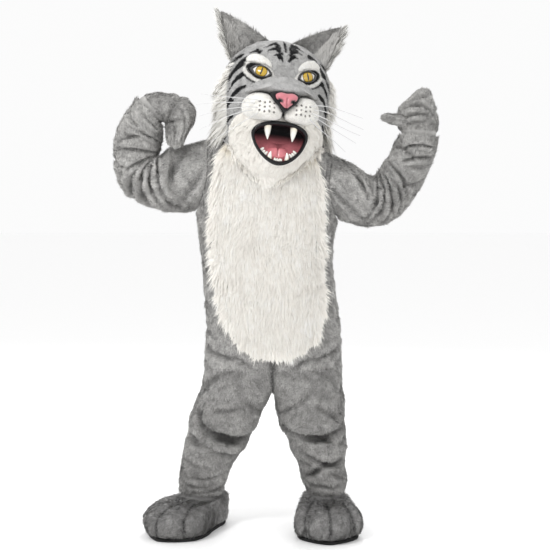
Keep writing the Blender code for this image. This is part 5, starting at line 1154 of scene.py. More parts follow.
SLEEVE_CREASES_LEFT = (
    (0.060, 0.170, 46.0, 0.070, 0.009, 0.007, 0.1),
    (0.095, 0.070, 30.0, 0.060, 0.009, 0.008, 0.0),
    (0.120, 0.110, 26.0, 0.050, 0.009, 0.007, 0.0),
    (0.178, 0.150, -42.0, 0.140, 0.010, 0.012, 0.08),
    (0.218, 0.150, -44.0, 0.160, 0.009, 0.013, 0.08),
    (0.262, 0.165, -40.0, 0.140, 0.009, 0.011, 0.05),
    (0.310, 0.180, -36.0, 0.110, 0.009, 0.009, 0.0),
    (0.360, 0.170, -44.0, 0.090, 0.009, 0.008, 0.0),
    (0.400, 0.200, 40.0, 0.080, 0.010, 0.006, 0.1),
    (0.430, 0.090, -34.0, 0.090, 0.009, 0.007, 0.0),
    (0.480, 0.180, 16.0, 0.080, 0.010, 0.005, 0.0),
    (0.530, 0.165, 26.0, 0.085, 0.010, 0.009, 0.30),
    (0.560, 0.095, -22.0, 0.070, 0.009, 0.008, 0.30),
    (0.600, 0.150, 14.0, 0.090, 0.009, 0.009, 0.40),
    (0.110, -0.140, -14.0, 0.120, 0.010, 0.009, 0.1),
    (0.190, -0.120, 6.0, 0.110, 0.009, 0.010, 0.0),
    (0.260, -0.180, -14.0, 0.090, 0.009, 0.008, 0.0),
    (0.320, -0.110, 12.0, 0.110, 0.009, 0.009, 0.0),
    (0.410, -0.160, -22.0, 0.100, 0.010, 0.008, 0.1),
    (0.490, -0.120, 14.0, 0.100, 0.010, 0.008, 0.0),
    (0.570, -0.140, -8.0, 0.110, 0.010, 0.009, 0.0),
)
SLEEVE_LONG, SLEEVE_GIRTH = 0.68, 0.56


def armhole(sign, turn):
    """A point on the armhole's edge; turn 0 is the shoulder point."""
    height = ARM_Z + ARM_HALF_Z * np.cos(turn)
    around = sign * (math.pi / 2 - ARM_HALF_TURN * np.sin(turn))
    return torso_point(around, height)


def sleeve(side, sign, table, fold_table, crease_table, count, seed):
    """A sleeve with its folds, creases, inner seam and rolled cuff."""
    turn, place = np.meshgrid(ring_turns(72), np.linspace(0.0, 1.0, 78))
    grid = limb_grid(armhole(sign, turn), table, fold_table, turn, place, SLEEVE_JOIN)
    round_way = np.where(turn > math.pi, turn - 2 * math.pi, turn) / (2 * math.pi) * SLEEVE_GIRTH
    moved = creases(crease_table, place * SLEEVE_LONG, round_way, SLEEVE_GIRTH)
    moved += 0.0020 * ripple(grid, 0.028, seed)
    ends = ease(place / 0.05) * (1.0 - 0.7 * ease((place - 0.94) / 0.06))
    rolled = 0.002 * np.exp(-((place - 0.985) / 0.018) ** 2)
    seam = -0.0024 * np.exp(-((round_way - 0.245) / 0.004) ** 2)
    sewn = -0.0008 * (1.0 - ease(place / 0.022))
    grid = grid + grid_out(grid, True) * (moved * ends + rolled + seam + sewn - PILE_DEEP)[..., None]
    # Painted shade in the creases; the sleeve's pile is also painted a little lighter overall (top 1.03) as
    # painted light.
    tint = mottled(grid, GREY, seed, 0.11) * crease_shade(moved, 0.012, 0.50, 1.03)
    plush_piece("arm_" + side, "sleeve_" + side, "grey_plush", grid, tint, count, np.gradient(grid, axis=0),
                (0.012, 0.0031, 0.46), seed, "gathered", gather=0.7)


# Legs

# Creases on a leg. columns: metres down, metres round from the front (outwards is +), slant,
# half length, half width, depth, bow
LEG_CREASES_RIGHT = (
    (0.060, 0.100, 28.0, 0.090, 0.012, 0.006, 0.0),
    (0.100, -0.080, -18.0, 0.090, 0.011, 0.006, 0.1),
    (0.145, 0.060, 14.0, 0.120, 0.011, 0.005, 0.1),
    (0.225, -0.010, -12.0, 0.150, 0.015, 0.018, 0.36),
    (0.255, 0.085, -14.0, 0.080, 0.012, 0.009, 0.2),
    (0.285, -0.050, -6.0, 0.110, 0.011, 0.010, 0.3),
    (0.340, 0.080, -10.0, 0.090, 0.010, 0.005, 0.0),
    (0.390, -0.040, 12.0, 0.110, 0.010, 0.006, 0.1),
    (0.440, 0.050, -6.0, 0.120, 0.009, 0.007, 0.1),
    (0.465, -0.060, 8.0, 0.110, 0.009, 0.007, 0.0),
    (0.120, 0.320, 12.0, 0.120, 0.012, 0.007, 0.1),
    (0.190, 0.400, -8.0, 0.140, 0.012, 0.011, 0.1),
    (0.240, 0.340, 10.0, 0.130, 0.011, 0.010, 0.0),
    (0.300, 0.400, -6.0, 0.120, 0.011, 0.009, 0.0),
    (0.380, 0.340, 8.0, 0.110, 0.010, 0.006, 0.0),
    (0.450, 0.380, -4.0, 0.130, 0.009, 0.007, 0.0),
)
LEG_CREASES_LEFT = (
    (0.050, 0.080, 30.0, 0.080, 0.012, 0.006, 0.0),
    (0.105, -0.060, -20.0, 0.090, 0.012, 0.006, 0.1),
    (0.160, 0.070, 36.0, 0.080, 0.011, 0.007, 0.0),
    (0.235, 0.000, 6.0, 0.165, 0.015, 0.019, 0.34),
    (0.262, 0.080, 10.0, 0.090, 0.011, 0.007, 0.25),
    (0.345, 0.040, 8.0, 0.120, 0.012, 0.014, 0.38),
    (0.385, -0.050, -24.0, 0.090, 0.013, 0.013, 0.10),
    (0.408, 0.090, 18.0, 0.070, 0.010, 0.007, 0.1),
    (0.450, -0.020, 8.0, 0.130, 0.009, 0.007, 0.1),
    (0.120, 0.330, 10.0, 0.120, 0.012, 0.007, 0.1),
    (0.200, 0.400, -8.0, 0.140, 0.012, 0.012, 0.1),
    (0.260, 0.340, 8.0, 0.130, 0.011, 0.009, 0.0),
    (0.330, 0.400, -6.0, 0.130, 0.011, 0.010, 0.0),
    (0.400, 0.340, 8.0, 0.110, 0.010, 0.007, 0.0),
    (0.455, 0.380, -4.0, 0.130, 0.009, 0.007, 0.0),
)
LEG_LONG, LEG_GIRTH = 0.49, 0.74


def leg_top(sign, count):
    """The leg's first ring: half of the hip seam, then the crotch seam."""
    steps = np.arange(count)
    side_steps = count // 3
    hip = (steps <= side_steps) | (steps >= count - side_steps)
    signed = np.where(steps > count // 2, steps - count, steps)
    around = sign * (math.pi / 2 - signed / side_steps * math.pi / 2)
    around = np.clip(around, 1e-9, math.pi - 1e-9) if sign > 0 else np.clip(around, 1e-9 - math.pi, -1e-9)
    top = torso_point(around, np.full(count, HEM_Z))
    top[:, 2] = HEM_Z
    front, back = smooth(TORSO, HEM_Z)[2:4]
    part = np.clip((steps - side_steps) / (count - 2 * side_steps), 0.0, 1.0) * math.pi
    y = np.where(np.cos(part) > 0, -front, back) * np.abs(np.cos(part))
    seat = np.stack([np.full(count, sign * 0.0002), y, HEM_Z - CROTCH_DROP * np.sin(part)], axis=-1)
    return np.where(hip[:, None], top, seat)


def leg(side, sign, table, fold_table, crease_table, count, seed):
    """A leg with its folds, creases and rolled hem; returns its grid for the foot cover's collar."""
    columns = 84
    turn, place = np.meshgrid(ring_turns(columns), np.linspace(0.0, 1.0, 62))
    grid = limb_grid(leg_top(sign, columns)[None], table, fold_table, turn, place, LEG_JOIN)
    round_way = -(turn - math.pi / 2) / (2 * math.pi) * LEG_GIRTH
    moved = creases(crease_table, place * LEG_LONG, round_way, LEG_GIRTH)
    moved += 0.0022 * ripple(grid, 0.034, seed)
    ends = ease(place / 0.07) * (1.0 - 0.6 * ease((place - 0.95) / 0.05))
    rolled = 0.004 * np.exp(-((place - 0.98) / 0.02) ** 2)
    sewn = -0.0016 * (1.0 - ease(place / 0.02))
    grid = grid + grid_out(grid, True) * (moved * ends + rolled + sewn - PILE_DEEP)[..., None]
    # Painted shade: the leg's grey is darker overall and darker still towards the hem, with painted shade in
    # the creases and between the thighs.
    tint = mottled(grid, GREY, seed, 0.11) * (0.855 - 0.055 * ease(place))[..., None]
    tint = tint * crease_shade(moved, 0.014, 0.62) * centre_shade(grid)
    plush_piece("trouser_" + side, "leg_" + side, "grey_plush", grid, tint, count, DOWN,
                (0.012, 0.0032, 0.46), seed, "gathered", gather=0.7)
    return grid


# Mitts


def between_rings(rings, rows):
    """Rows of a smooth skin through a few rings of points."""
    count = len(rings)
    flat = np.array(rings).reshape(count, -1)
    spans = np.linalg.norm(np.diff(np.array(rings), axis=0), axis=-1).mean(axis=1)
    knots = np.concatenate([[0.0], np.cumsum(spans)])
    table = np.concatenate([knots[:, None], flat], axis=1)
    at = np.linspace(0.0, knots[-1], rows)
    return smooth(table, at).reshape(rows, -1, 3)


def shrunk(ring, gap):
    """A ring moved in towards its middle by a gap."""
    return ring + unit(ring.mean(axis=-2, keepdims=True) - ring) * gap


# Folds and finger seams on a mitt. columns: share along, turn in degrees (90 is the front),
# slant, half length, half width, depth, bow
MITT_CREASES_RIGHT = (
    (0.060, 0.060, 10.0, 0.120, 0.007, 0.007, 0.0),
    (0.115, 0.110, 40.0, 0.090, 0.006, 0.006, 0.0),
    (0.150, 0.020, 78.0, 0.090, 0.006, 0.007, 0.1),
    (0.180, 0.090, 84.0, 0.110, 0.006, 0.008, 0.0),
    (0.180, 0.140, 80.0, 0.100, 0.006, 0.007, 0.1),
    (0.230, 0.110, 10.0, 0.060, 0.006, 0.005, 0.0),
    (0.060, 0.300, -8.0, 0.120, 0.007, 0.006, 0.0),
    (0.150, 0.300, 80.0, 0.080, 0.007, 0.006, 0.0),
)
MITT_CREASES_LEFT = (
    (0.044, 0.085, 18.0, 0.080, 0.008, 0.008, 0.35),
    (0.078, 0.120, -14.0, 0.075, 0.008, 0.009, 0.45),
    (0.112, 0.085, 22.0, 0.060, 0.007, 0.007, 0.40),
    (0.148, 0.125, -12.0, 0.065, 0.007, 0.008, 0.40),
    (0.185, 0.080, 24.0, 0.045, 0.007, 0.005, 0.30),
    (0.165, 0.165, 66.0, 0.045, 0.007, 0.006, 0.0),
    (0.060, 0.320, -8.0, 0.120, 0.008, 0.008, 0.1),
    (0.130, 0.330, 6.0, 0.110, 0.007, 0.007, 0.0),
    (0.190, 0.320, 84.0, 0.060, 0.007, 0.007, 0.0),
)
MITT_GIRTH = 0.44
MITT_STARTS = {"right": 0.30, "left": 0.34}


def mitt(side, table, sleeve_table, crease_table, count, seed):
    """A mitt, from inside the cuff to closed finger tips."""
    turns = ring_turns(60)
    rings = [shrunk(limb_ring(sleeve_table, turns, place), gap)
             for place, gap in ((0.93, 0.011), (0.97, 0.011), (1.0, 0.009))]
    rings += [limb_ring(table, turns, place) for place in np.linspace(MITT_STARTS[side], 1.0, 11)]
    tip = rings[-1].mean(axis=0)
    way = unit(tip - rings[-2].mean(axis=0))
    rings.append(tip + (rings[-1] - tip) * 0.6 + way * 0.006)
    rings.append(tip + (rings[-1] - tip) * 0.02 + way * 0.003)
    grid = between_rings(rings, 50)
    along = np.linalg.norm(np.diff(grid.mean(axis=1), axis=0), axis=-1)
    along = np.concatenate([[0.0], np.cumsum(along)])[:, None] - 0.05
    moved = creases(crease_table, along, turns / (2 * math.pi) * MITT_GIRTH, MITT_GIRTH)
    moved += 0.0018 * ripple(grid, 0.022, seed)
    ends = ease(along / 0.03) * ease((along[-1] - along) / 0.03)
    grid = grid + grid_out(grid, True) * (moved * ends - SNUG_DEEP)[..., None]
    # Painted shade in the creases.
    tint = mottled(grid, GREY, seed, 0.11) * crease_shade(moved, 0.010, 0.25)
    plush_piece("mitt_skin_" + side, "mitt_" + side, "grey_plush", grid, tint, count,
                np.gradient(grid, axis=0), (0.011, 0.0029, 0.44), seed, "stretched", keep=along[:-1] > -0.012,
                swirl=0.4, gather=0.6, tuft=0.009)


def thumb():
    """The left mitt's thumb, stuffed, sewn to the palm side of the hand."""
    turns = ring_turns(30)
    turn = THUMB_TURN + THUMB_HALF_TURN * np.cos(turns)
    place = THUMB_PLACE + THUMB_HALF_PLACE * np.sin(turns)
    root = limb_ring(MITT_LEFT, turn, place)
    tip = np.array(THUMB_TIP)
    centre = root.mean(axis=0)
    way = unit(tip - centre)
    rings = [root - way * 0.012]
    for part, size in THUMB_SIZES:
        ring = root - centre
        ring = ring - (ring @ way)[:, None] * way * min(1.0, part * 2)
        rings.append(centre + (tip - centre) * part + ring * size)
    grid = between_rings(rings, 32)
    grid = grid + grid_out(grid, True) * (0.0014 * ripple(grid, 0.018, 77) - 0.0030)[..., None]
    tint = mottled(grid, GREY, 77, 0.08)
    skin = plush_piece("thumb", "thumb_left", "grey_plush", grid, tint, 4000, np.gradient(grid, axis=0),
                       (0.010, 0.0028, 0.44), 78, gather=0.6, tuft=0.009)


# Foot covers

# columns: angle from straight ahead in degrees, depth, half width in degrees
TOE_SEAMS = ((-34.0, 0.009, 2.7), (-17.0, 0.013, 2.7), (0.0, 0.013, 2.7), (17.0, 0.013, 2.7),
             (34.0, 0.009, 2.7))
TOE_THREAD, TOE_CENTRE = 1.05, 0.06


def foot(side, x, y, degrees, leg_rings, seed):
    """A foot cover with its toe seams, and its sole."""
    columns = 120
    sign = 1.0 if x > 0 else -1.0
    yaw = math.radians(degrees)
    forward, sideways = foot_ways(yaw)
    ankle = np.array([x, y])
    turns = ring_turns(columns)
    rings = [foot_ring(turns, np.full(columns, height), sign, ankle, yaw) for height in FOOT_LEVELS]
    rings[0] = shrunk(rings[0], 0.006)
    collar = leg_rings[[-1, -5]]
    steps = np.arange(columns) * collar.shape[1] / columns
    low = steps.astype(int)
    part = (steps - low)[None, :, None]
    collar = collar[:, low] * (1.0 - part) + collar[:, (low + 1) % collar.shape[1]] * part
    collar = shrunk(collar, 0.010)
    collar[0, :, 2] -= 0.004
    rings += [collar[0], collar[1]]
    grid = between_rings(rings, 36)

    def spot(points):
        """Metres ahead of the ankle, and degrees from straight ahead about a point behind it."""
        flat = points[..., :2] - ankle
        ahead = flat @ forward
        return ahead, np.degrees(np.arctan2(flat @ sideways, ahead + TOE_CENTRE))

    ahead, angle = spot(grid)
    reach = ease((ahead - 0.05) / 0.10)
    low = FLOOR + SOLE_THICK
    tall = 0.45 + 0.55 * ease((0.100 - (grid[..., 2] - low)) / 0.05)
    moved = np.zeros(grid.shape[:2])
    for middle, deep, half in TOE_SEAMS:
        off = (angle - middle) / half
        moved -= deep * np.exp(-off ** 2) * reach * tall
        moved += 0.35 * deep * np.exp(-((np.abs(off) - 2.2) / 1.3) ** 2) * reach * tall
    moved += 0.0020 * ripple(grid, 0.030, seed)
    moved *= ease((grid[..., 2] - low) / 0.012)
    flow = np.concatenate([grid[..., :2] - ankle, np.full((36, columns, 1), -0.10)], axis=-1)
    grid = grid + grid_out(grid, True) * (moved - SNUG_DEEP)[..., None]
    grid[..., 2] = np.maximum(grid[..., 2], low + 0.0004)
    # Painted shade: the foot covers' darkened grey, with painted shade in the creases and toe seams.
    tint = mottled(grid, FOOT_SHADE_GREY, seed, 0.10) * crease_shade(moved, 0.010, 0.35)

    def fur_tint(points):
        front, turned = spot(points)
        line = sum(np.exp(-((turned - seam[0]) / TOE_THREAD) ** 2) for seam in TOE_SEAMS)
        # The pile takes the same grey, darkened by painted shade.
        shade = mottled(points, FOOT_SHADE_GREY, seed, 0.10)
        return shade * (1.0 - 0.80 * np.clip(line * ease((front - 0.05) / 0.08), 0.0, 1.0))[..., None]

    show = np.arange(35)[:, None] < 29
    plush_piece("foot_skin_" + side, "foot_" + side, "dark_plush", grid, tint, 20000, flow,
                (0.012, 0.0030, 0.44), seed, "stretched", fur_tint=fur_tint, keep=show, swirl=0.4, gather=0.6)
    outline = foot_ring(turns, np.zeros(columns), sign, ankle, yaw)
    middle = outline.mean(axis=0)
    heights, sizes = np.array(SOLE_RINGS).T
    rows = middle + (outline - middle) * sizes[:, None, None]
    rows[..., 2] = FLOOR + heights[:, None]
    tread = add_mesh("sole_tread_" + side, rows.reshape(-1, 3), stack_faces(len(rows), columns), SOLE, 0.018)
    dress(tread, "sole_" + side)


# Head

# Stripes in metres round from the face (its left is +) and up; each is a stroke that bows.
# columns: start round, start height, end round, end height, half width, bow
STRIPES = (
    (0.000, 0.356, 0.000, 0.404, 0.0045, 0.000),
    (0.014, 0.318, 0.052, 0.334, 0.0042, 0.010),
    (0.020, 0.344, 0.088, 0.352, 0.0048, 0.014),
    (0.026, 0.368, 0.112, 0.366, 0.0050, 0.016),
    (0.120, 0.344, 0.176, 0.336, 0.0050, 0.010),
    (0.142, 0.318, 0.236, 0.252, 0.0055, 0.026),
    (0.140, 0.262, 0.226, 0.196, 0.0055, 0.018),
    (0.162, 0.296, 0.268, 0.186, 0.0060, 0.030),
    (0.150, 0.212, 0.232, 0.142, 0.0050, 0.010),
    (0.196, 0.160, 0.262, 0.104, 0.0050, 0.012),
    (0.188, 0.106, 0.244, 0.068, 0.0045, 0.006),
    (0.210, 0.330, 0.310, 0.250, 0.0055, 0.020),
    (0.290, 0.196, 0.340, 0.120, 0.0050, 0.016),
    (0.350, 0.318, 0.440, 0.262, 0.0052, 0.012),
    (0.362, 0.226, 0.446, 0.176, 0.0052, 0.012),
    (0.500, 0.334, 0.606, 0.312, 0.0052, 0.012),
    (0.478, 0.278, 0.600, 0.246, 0.0055, 0.014),
    (0.470, 0.212, 0.596, 0.178, 0.0055, 0.014),
    (0.476, 0.148, 0.592, 0.116, 0.0052, 0.012),
)


def stripe_share(around, height):
    """1 inside a stripe and 0 outside, on both sides of the face alike."""
    around = np.abs(around)
    shown = np.zeros(around.shape)
    for start_a, start_h, end_a, end_h, half, bow in STRIPES:
        for step in range(15):
            part = step / 14
            middle_a = start_a + (end_a - start_a) * part
            middle_h = start_h + (end_h - start_h) * part + bow * 4 * part * (1 - part)
            taper = math.sin(math.pi * min(0.06 + 0.72 * part + 0.16, 1.0)) ** 1.2
            size = 1.35 * half * (0.30 + 1.25 * taper)
            shown = np.maximum(shown, 1.0 - np.hypot(around - middle_a, height - middle_h) / size)
    return ease(shown / 0.16)


def head_tint(points):
    """The head's colours: grey with black stripes, and white round the eyes."""
    local = into_head(points)
    turn = np.arctan2(local[..., 0], -local[..., 1])
    around, height = turn * 0.20, local[..., 2]
    colour = mottled(points, HEAD_GREY, 41, 0.05)
    rough = 0.0022 * ripple(points, 0.006, 42)
    across, rise = np.abs(local[..., 0]) - EYE_X - 0.006, height - EYE_HEIGHT
    slope = math.tan(EYE_TILT)
    patch = (across / 0.060) ** 2 + ((rise - slope * across + 0.004) / 0.039) ** 2
    socket = (across / 0.046) ** 2 + ((rise - slope * across) / 0.029) ** 2
    front = ease((0.9 - np.abs(turn)) / 0.1)
    white = ease((1.0 - patch) / 0.12) * front
    colour = mix(colour, BRIGHT_WHITE, white)
    rim = np.exp(-((np.sqrt(patch) - 1.08) / 0.09) ** 2) * front
    lower = ease((-rise + slope * across + 0.004) / 0.02)
    colour = mix(colour, BLACK, np.clip(rim * 1.2 * lower, 0.0, 1.0))
    colour = mix(colour, BLACK, ease((1.0 - socket) / 0.15) * front)
    return mix(colour, BLACK, stripe_share(around + rough, height + rough) * (1.0 - white))


def chin_edge_part(turn):
    """The share of the way up the head where the white chin ends."""
    away = np.degrees(np.abs((turn + math.pi) % (2 * math.pi) - math.pi))
    height = smooth(CHIN_EDGE, away)[..., 0]
    low = rim_height(turn) - HEAD_PIVOT[2]
    return (height - low) / (HEAD_TOP - low)


def head_grid(turn, part):
    """Points of the head under its fur."""
    turn, part = np.broadcast_arrays(turn, part)
    return head_point(turn, part) - outward(head_point, turn, part, height_step=0.01) * PILE_DEEP


def away_from_nose(points):
    """The way the head's fur lies: off the nose, back and down."""
    nose = from_head((0.0, -0.30, 0.20))
    return unit(points - nose) + DOWN * 0.55


def head_panel(name, node, grid, count, colour, seed, length, ring=False, keep=None, bare=False, finish=PLUSH,
               slot="grey_plush", **more):
    """A panel of the head with its fur; keep drops faces, and bare ones carry no fur."""
    under = colour(grid) if callable(colour) else colour
    # The cloth under the fur is darkened by painted shade.
    panel = cloth(name, grid, finish, under * 0.9, ring=ring, thick=0.002, keep=keep)
    furred = (np.ones(1, bool) if keep is None else keep) & ~np.asarray(bare)
    fur = pile(name + "_fur", grid, ring, count, away_from_nose(grid), colour, length, 0.0026, 0.35, seed,
               keep=furred, finish=finish, **more)
    dress(panel, node)
    SHEETS.append((panel, grid, ring, "stretched", [fur], keep))


def mouth_reach(local, inset, steps):
    """Angles of points about the mouth's middle, seen from the front, and the outline's reach at them."""
    x, height = mouth_outline(np.linspace(0.0, 2 * math.pi, steps), inset)
    way = np.arctan2(local[..., 2] - MOUTH_MIDDLE, local[..., 0])
    have = np.arctan2(height - MOUTH_MIDDLE, x) % (2 * math.pi)
    order = np.argsort(have)
    reach = np.hypot(x, height - MOUTH_MIDDLE)[order]
    return way, np.interp(way % (2 * math.pi), have[order], reach, period=2 * math.pi)


def in_mouth(points, inset):
    """Whether points of the head lie inside the mouth's outline."""
    local = into_head(points)
    size = np.hypot(local[..., 0], local[..., 2] - MOUTH_MIDDLE)
    return (size < mouth_reach(local, inset, 145)[1]) & (local[..., 1] < 0.0)


def fitted_to_mouth(grid, keep, inset):
    """The grid with the corners round its hole moved onto the mouth's outline."""
    touch = [np.zeros(grid.shape[:2], int), np.zeros(grid.shape[:2], int)]
    for count, mask in zip(touch, (keep, ~keep)):
        for row in (0, 1):
            for column in (0, 1):
                count[row:row + mask.shape[0], column:column + mask.shape[1]] += mask
    edge = (touch[0] > 0) & (touch[1] > 0)
    local = into_head(grid)
    way, reach = mouth_reach(local, inset, 361)
    local[..., 0] = np.where(edge, reach * np.cos(way), local[..., 0])
    local[..., 2] = np.where(edge, MOUTH_MIDDLE + reach * np.sin(way), local[..., 2])
    return from_head(local)


def head_shell():
    """Chin and bib, face, back of the head and crown."""
    side = math.radians(FACE_HALF_TURN)
    turns = np.linspace(-side, side, 64)
    edge = chin_edge_part(turns)
    share = np.linspace(0.0, 1.0, 48)[:, None]
    grid = head_grid(turns, edge * share)
    grid = grid + grid_out(grid, False) * (0.0018 * ripple(grid, 0.03, 51) * ease(share / 0.2))[..., None]
    middles = quad_middles(grid)
    keep = ~in_mouth(middles, 0.004)
    grid = fitted_to_mouth(grid, keep, 0.004)
    white = mottled(grid, WHITE, 52, 0.02)
    local = into_head(middles)
    under_pads = (local[..., 2] > 0.092) & (np.abs(local[..., 0]) < 0.128)
    head_panel("bib", "chin_bib", grid, 15000, white, 53, 0.020, keep=keep,
               bare=under_pads | in_mouth(middles, -0.008), finish=LONG_FUR, slot="white_fur", steps=2,
               spread=0.22, swirl=0.25, gather=0.5, tuft=0.010, droop=0.1, ragged=0.25, depth=0.08, soft=0.92)
    bottom = head_point(*np.meshgrid(np.linspace(-1.05, 1.05, 60), np.linspace(0.0, 0.05, 6)))
    spots = scatter(bottom, False, 4800, 54)
    out = unit(over(grid_out(bottom, False), spots))
    fur = hair("bib_hem", over(bottom, spots), out, DOWN, np.array(WHITE), 0.030, 0.0033, 0.25, 55, steps=2,
               spread=0.2, swirl=0.2, droop=0.15, gather=0.6, tuft=0.010, depth=0.10, finish=LONG_FUR,
               soft=0.90)
    SHEETS[-1][4].append(fur)
    grid = head_grid(turns, edge + (CROWN_PART - edge) * np.linspace(0.0, 1.0, 56)[:, None])
    head_panel("face", "head_face", grid, 36200, head_tint, 56, 0.0055, spread=0.4, swirl=0.3)
    part = np.linspace(0.0, CROWN_PART, 56)[:, None]
    grid = head_grid(np.linspace(side, 2 * math.pi - side, 78), part)
    grid = grid + grid_out(grid, False) * (0.0016 * ripple(grid, 0.04, 57) * ease(part / 0.1))[..., None]
    head_panel("back_of_head", "head_back", grid, 32000, head_tint, 58, 0.013, spread=0.4, swirl=0.35,
               gather=0.6, tuft=0.010)
    part = CROWN_PART + (1.0 - CROWN_PART) * np.linspace(0.0, 1.0, 22)[:, None]
    grid = head_grid(ring_turns(96), np.minimum(part, NEARLY_TOP))
    tip = grid[-1].mean(axis=0)
    lids = [tip + (grid[-1] - tip) * size + HEAD_AXES[:, 2] * 0.0010 * (1.0 - size)
            for size in (0.66, 0.33, 0.01)]
    grid = np.concatenate([grid, np.array(lids)])
    head_panel("crown", "head_crown", grid, 16000, head_tint, 59, 0.006, ring=True, spread=0.4, swirl=0.3)


def head_tree():
    """A search tree of the head's shell, in the head's own frame."""
    grid = head_grid(np.linspace(0.0, 2 * math.pi, 181), np.linspace(0.0, NEARLY_TOP, 100)[:, None])
    return BVHTree.FromPolygons(into_head(grid.reshape(-1, 3)).tolist(),
                                grid_quads(100, 181, False).reshape(-1, 4).tolist())


def face_depth(x, height):
    """How far back the face lies at a place seen from the front, in the head's frame."""
    hit = SHELL.ray_cast(Vector((float(x), -0.6, float(height))), Vector(BACKWARD))
    return hit[0].y if hit[0] is not None else -0.15


RELIEF_SINK = 0.004


def relief(name, node, outline, centre, rise, colour, finish, slot, rings, round_off):
    """A padded piece on the face: an outline seen from the front, raised towards the front.

    rise and colour are functions of a place; round_off shapes the shoulder. Returns its grid
    and tint.
    """
    rows = []
    for share in 1.0 - np.linspace(0.0, 0.985, rings) ** 1.6:
        ring = centre + (outline - centre) * share
        dome = (1.0 - share ** round_off) ** 0.5 if share < 1.0 else 0.0
        rows.append([(x, face_depth(x, height) - 0.0020 - rise(x, height) * dome, height)
                     for x, height in ring])
    grid = np.array(rows[:1] + rows)
    grid[0, :, 1] += RELIEF_SINK + 0.002
    tint = np.array([[colour(x, height) for x, _, height in row] for row in grid])
    ends = np.array([(centre[0], face_depth(*centre) + RELIEF_SINK, centre[1]), grid[-1].mean(axis=0)])
    points = from_head(np.concatenate([grid.reshape(-1, 3), ends]))
    tints = np.concatenate([tint.reshape(-1, 3), tint[[0, -1]].mean(axis=1)])
    count = len(outline)
    step = np.arange(count)
    after = (step + 1) % count
    last = rings * count
    faces = [grid_quads(rings + 1, count, True).reshape(-1, 4),
             np.stack([np.full(count, len(points) - 2), after, step], axis=-1),
             np.stack([last + step, last + after, np.full(count, len(points) - 1)], axis=-1)]
    dress(add_mesh(name, points, faces, finish, tints), node)
    return from_head(grid), tint


def furry_relief(name, node, slot, outline, centre, rise, colour, shape, source, count, size, seed,
                 fall=0.0, uneven=0.0, **more):
    """A padded piece with pile that lies away from a source point and falls.

    shape is the rings and the round_off of the relief, size the pile's length, width and lift,
    and uneven how far its colour is mottled.
    """
    grid, tint = relief(name, node, outline, centre, rise, colour, PLUSH, slot, *shape)
    flow = unit(grid - from_head(source)) + DOWN * fall
    fur = pile(name.replace("_pad", "") + "_pile", grid[1:], True, count, flow[1:],
               mottled(grid[1:], tint[1:], seed - 1, uneven), *size, seed, spread=0.4, swirl=0.3, **more)


def mouth_edge(angle, inset, behind):
    """Points on the mouth's edge in the head's frame, moved in and back from the face."""
    x, height = mouth_outline(angle, inset)
    edge_x, edge_h = mouth_outline(angle, 0.0)
    depth = np.array([face_depth(*place) for place in zip(edge_x * 1.04, edge_h + 0.003 * np.sin(angle))])
    depth = np.array([np.roll(depth, shift) for shift in range(2, -3, -1)]).mean(axis=0)
    return np.stack([x, depth + behind, height], axis=-1)


def whisker_spots():
    """Where the dark dots of the muzzle lie: x and height."""
    return [(0.040 + 0.017 * column, 0.122 + 0.016 * row + 0.003 * (column % 2))
            for row in range(3) for column in range(4)]


def muzzle_colour(x, height):
    """White with rows of dark dots, and black in the groove between the pads."""
    dots = max(1.0 - math.hypot(abs(x) - dot_x, height - dot_height) / 0.0042
               for dot_x, dot_height in whisker_spots())
    dark = min(max(dots / 0.25, 0.0), 1.0)
    groove = max(0.0, 1.0 - (abs(x) - 0.003) / 0.006)
    return mix(mix(BRIGHT_WHITE, (0.10, 0.09, 0.085), dark), BLACK, min(groove, 1.0))


NOSTRIL_X, NOSTRIL_HEIGHT, NOSTRIL_SLANT = 0.0225, 0.1645, 0.25
GROOVE_TOP = 0.172


def nose_marks(x, height, hole_wide, hole_tall, power, groove_wide, groove_fade):
    """How deep a place of the nose lies in a nostril, and in the groove between the two, 0 to 1."""
    aside = abs(x) - NOSTRIL_X
    up = height - NOSTRIL_HEIGHT - NOSTRIL_SLANT * aside
    hole = math.exp(-(aside / hole_wide) ** power - (up / hole_tall) ** power)
    above = max(height - GROOVE_TOP, 0.0)
    return hole, math.exp(-(x / groove_wide) ** 2) * math.exp(-(above / groove_fade) ** 2)


def nose_rise(x, height):
    hole, groove = nose_marks(x, height, 0.0100, 0.0075, 2, 0.0035, 0.006)
    return 0.094 - 0.013 * hole - 0.004 * groove


def nose_colour(x, height):
    hole, groove = nose_marks(x, height, 0.0092, 0.0062, 4, 0.0028, 0.005)
    return mix(mix(PINK, DARK_PINK, 0.6 * groove), BLACK, min(1.0, 1.15 * hole))


def bridge_rise(x, height):
    return 0.026 + 0.058 * float(ease((0.255 - height) / 0.06)) * (1 - (x / 0.16) ** 2)


def always(value):
    """The same value at every place."""
    return lambda x, height: value


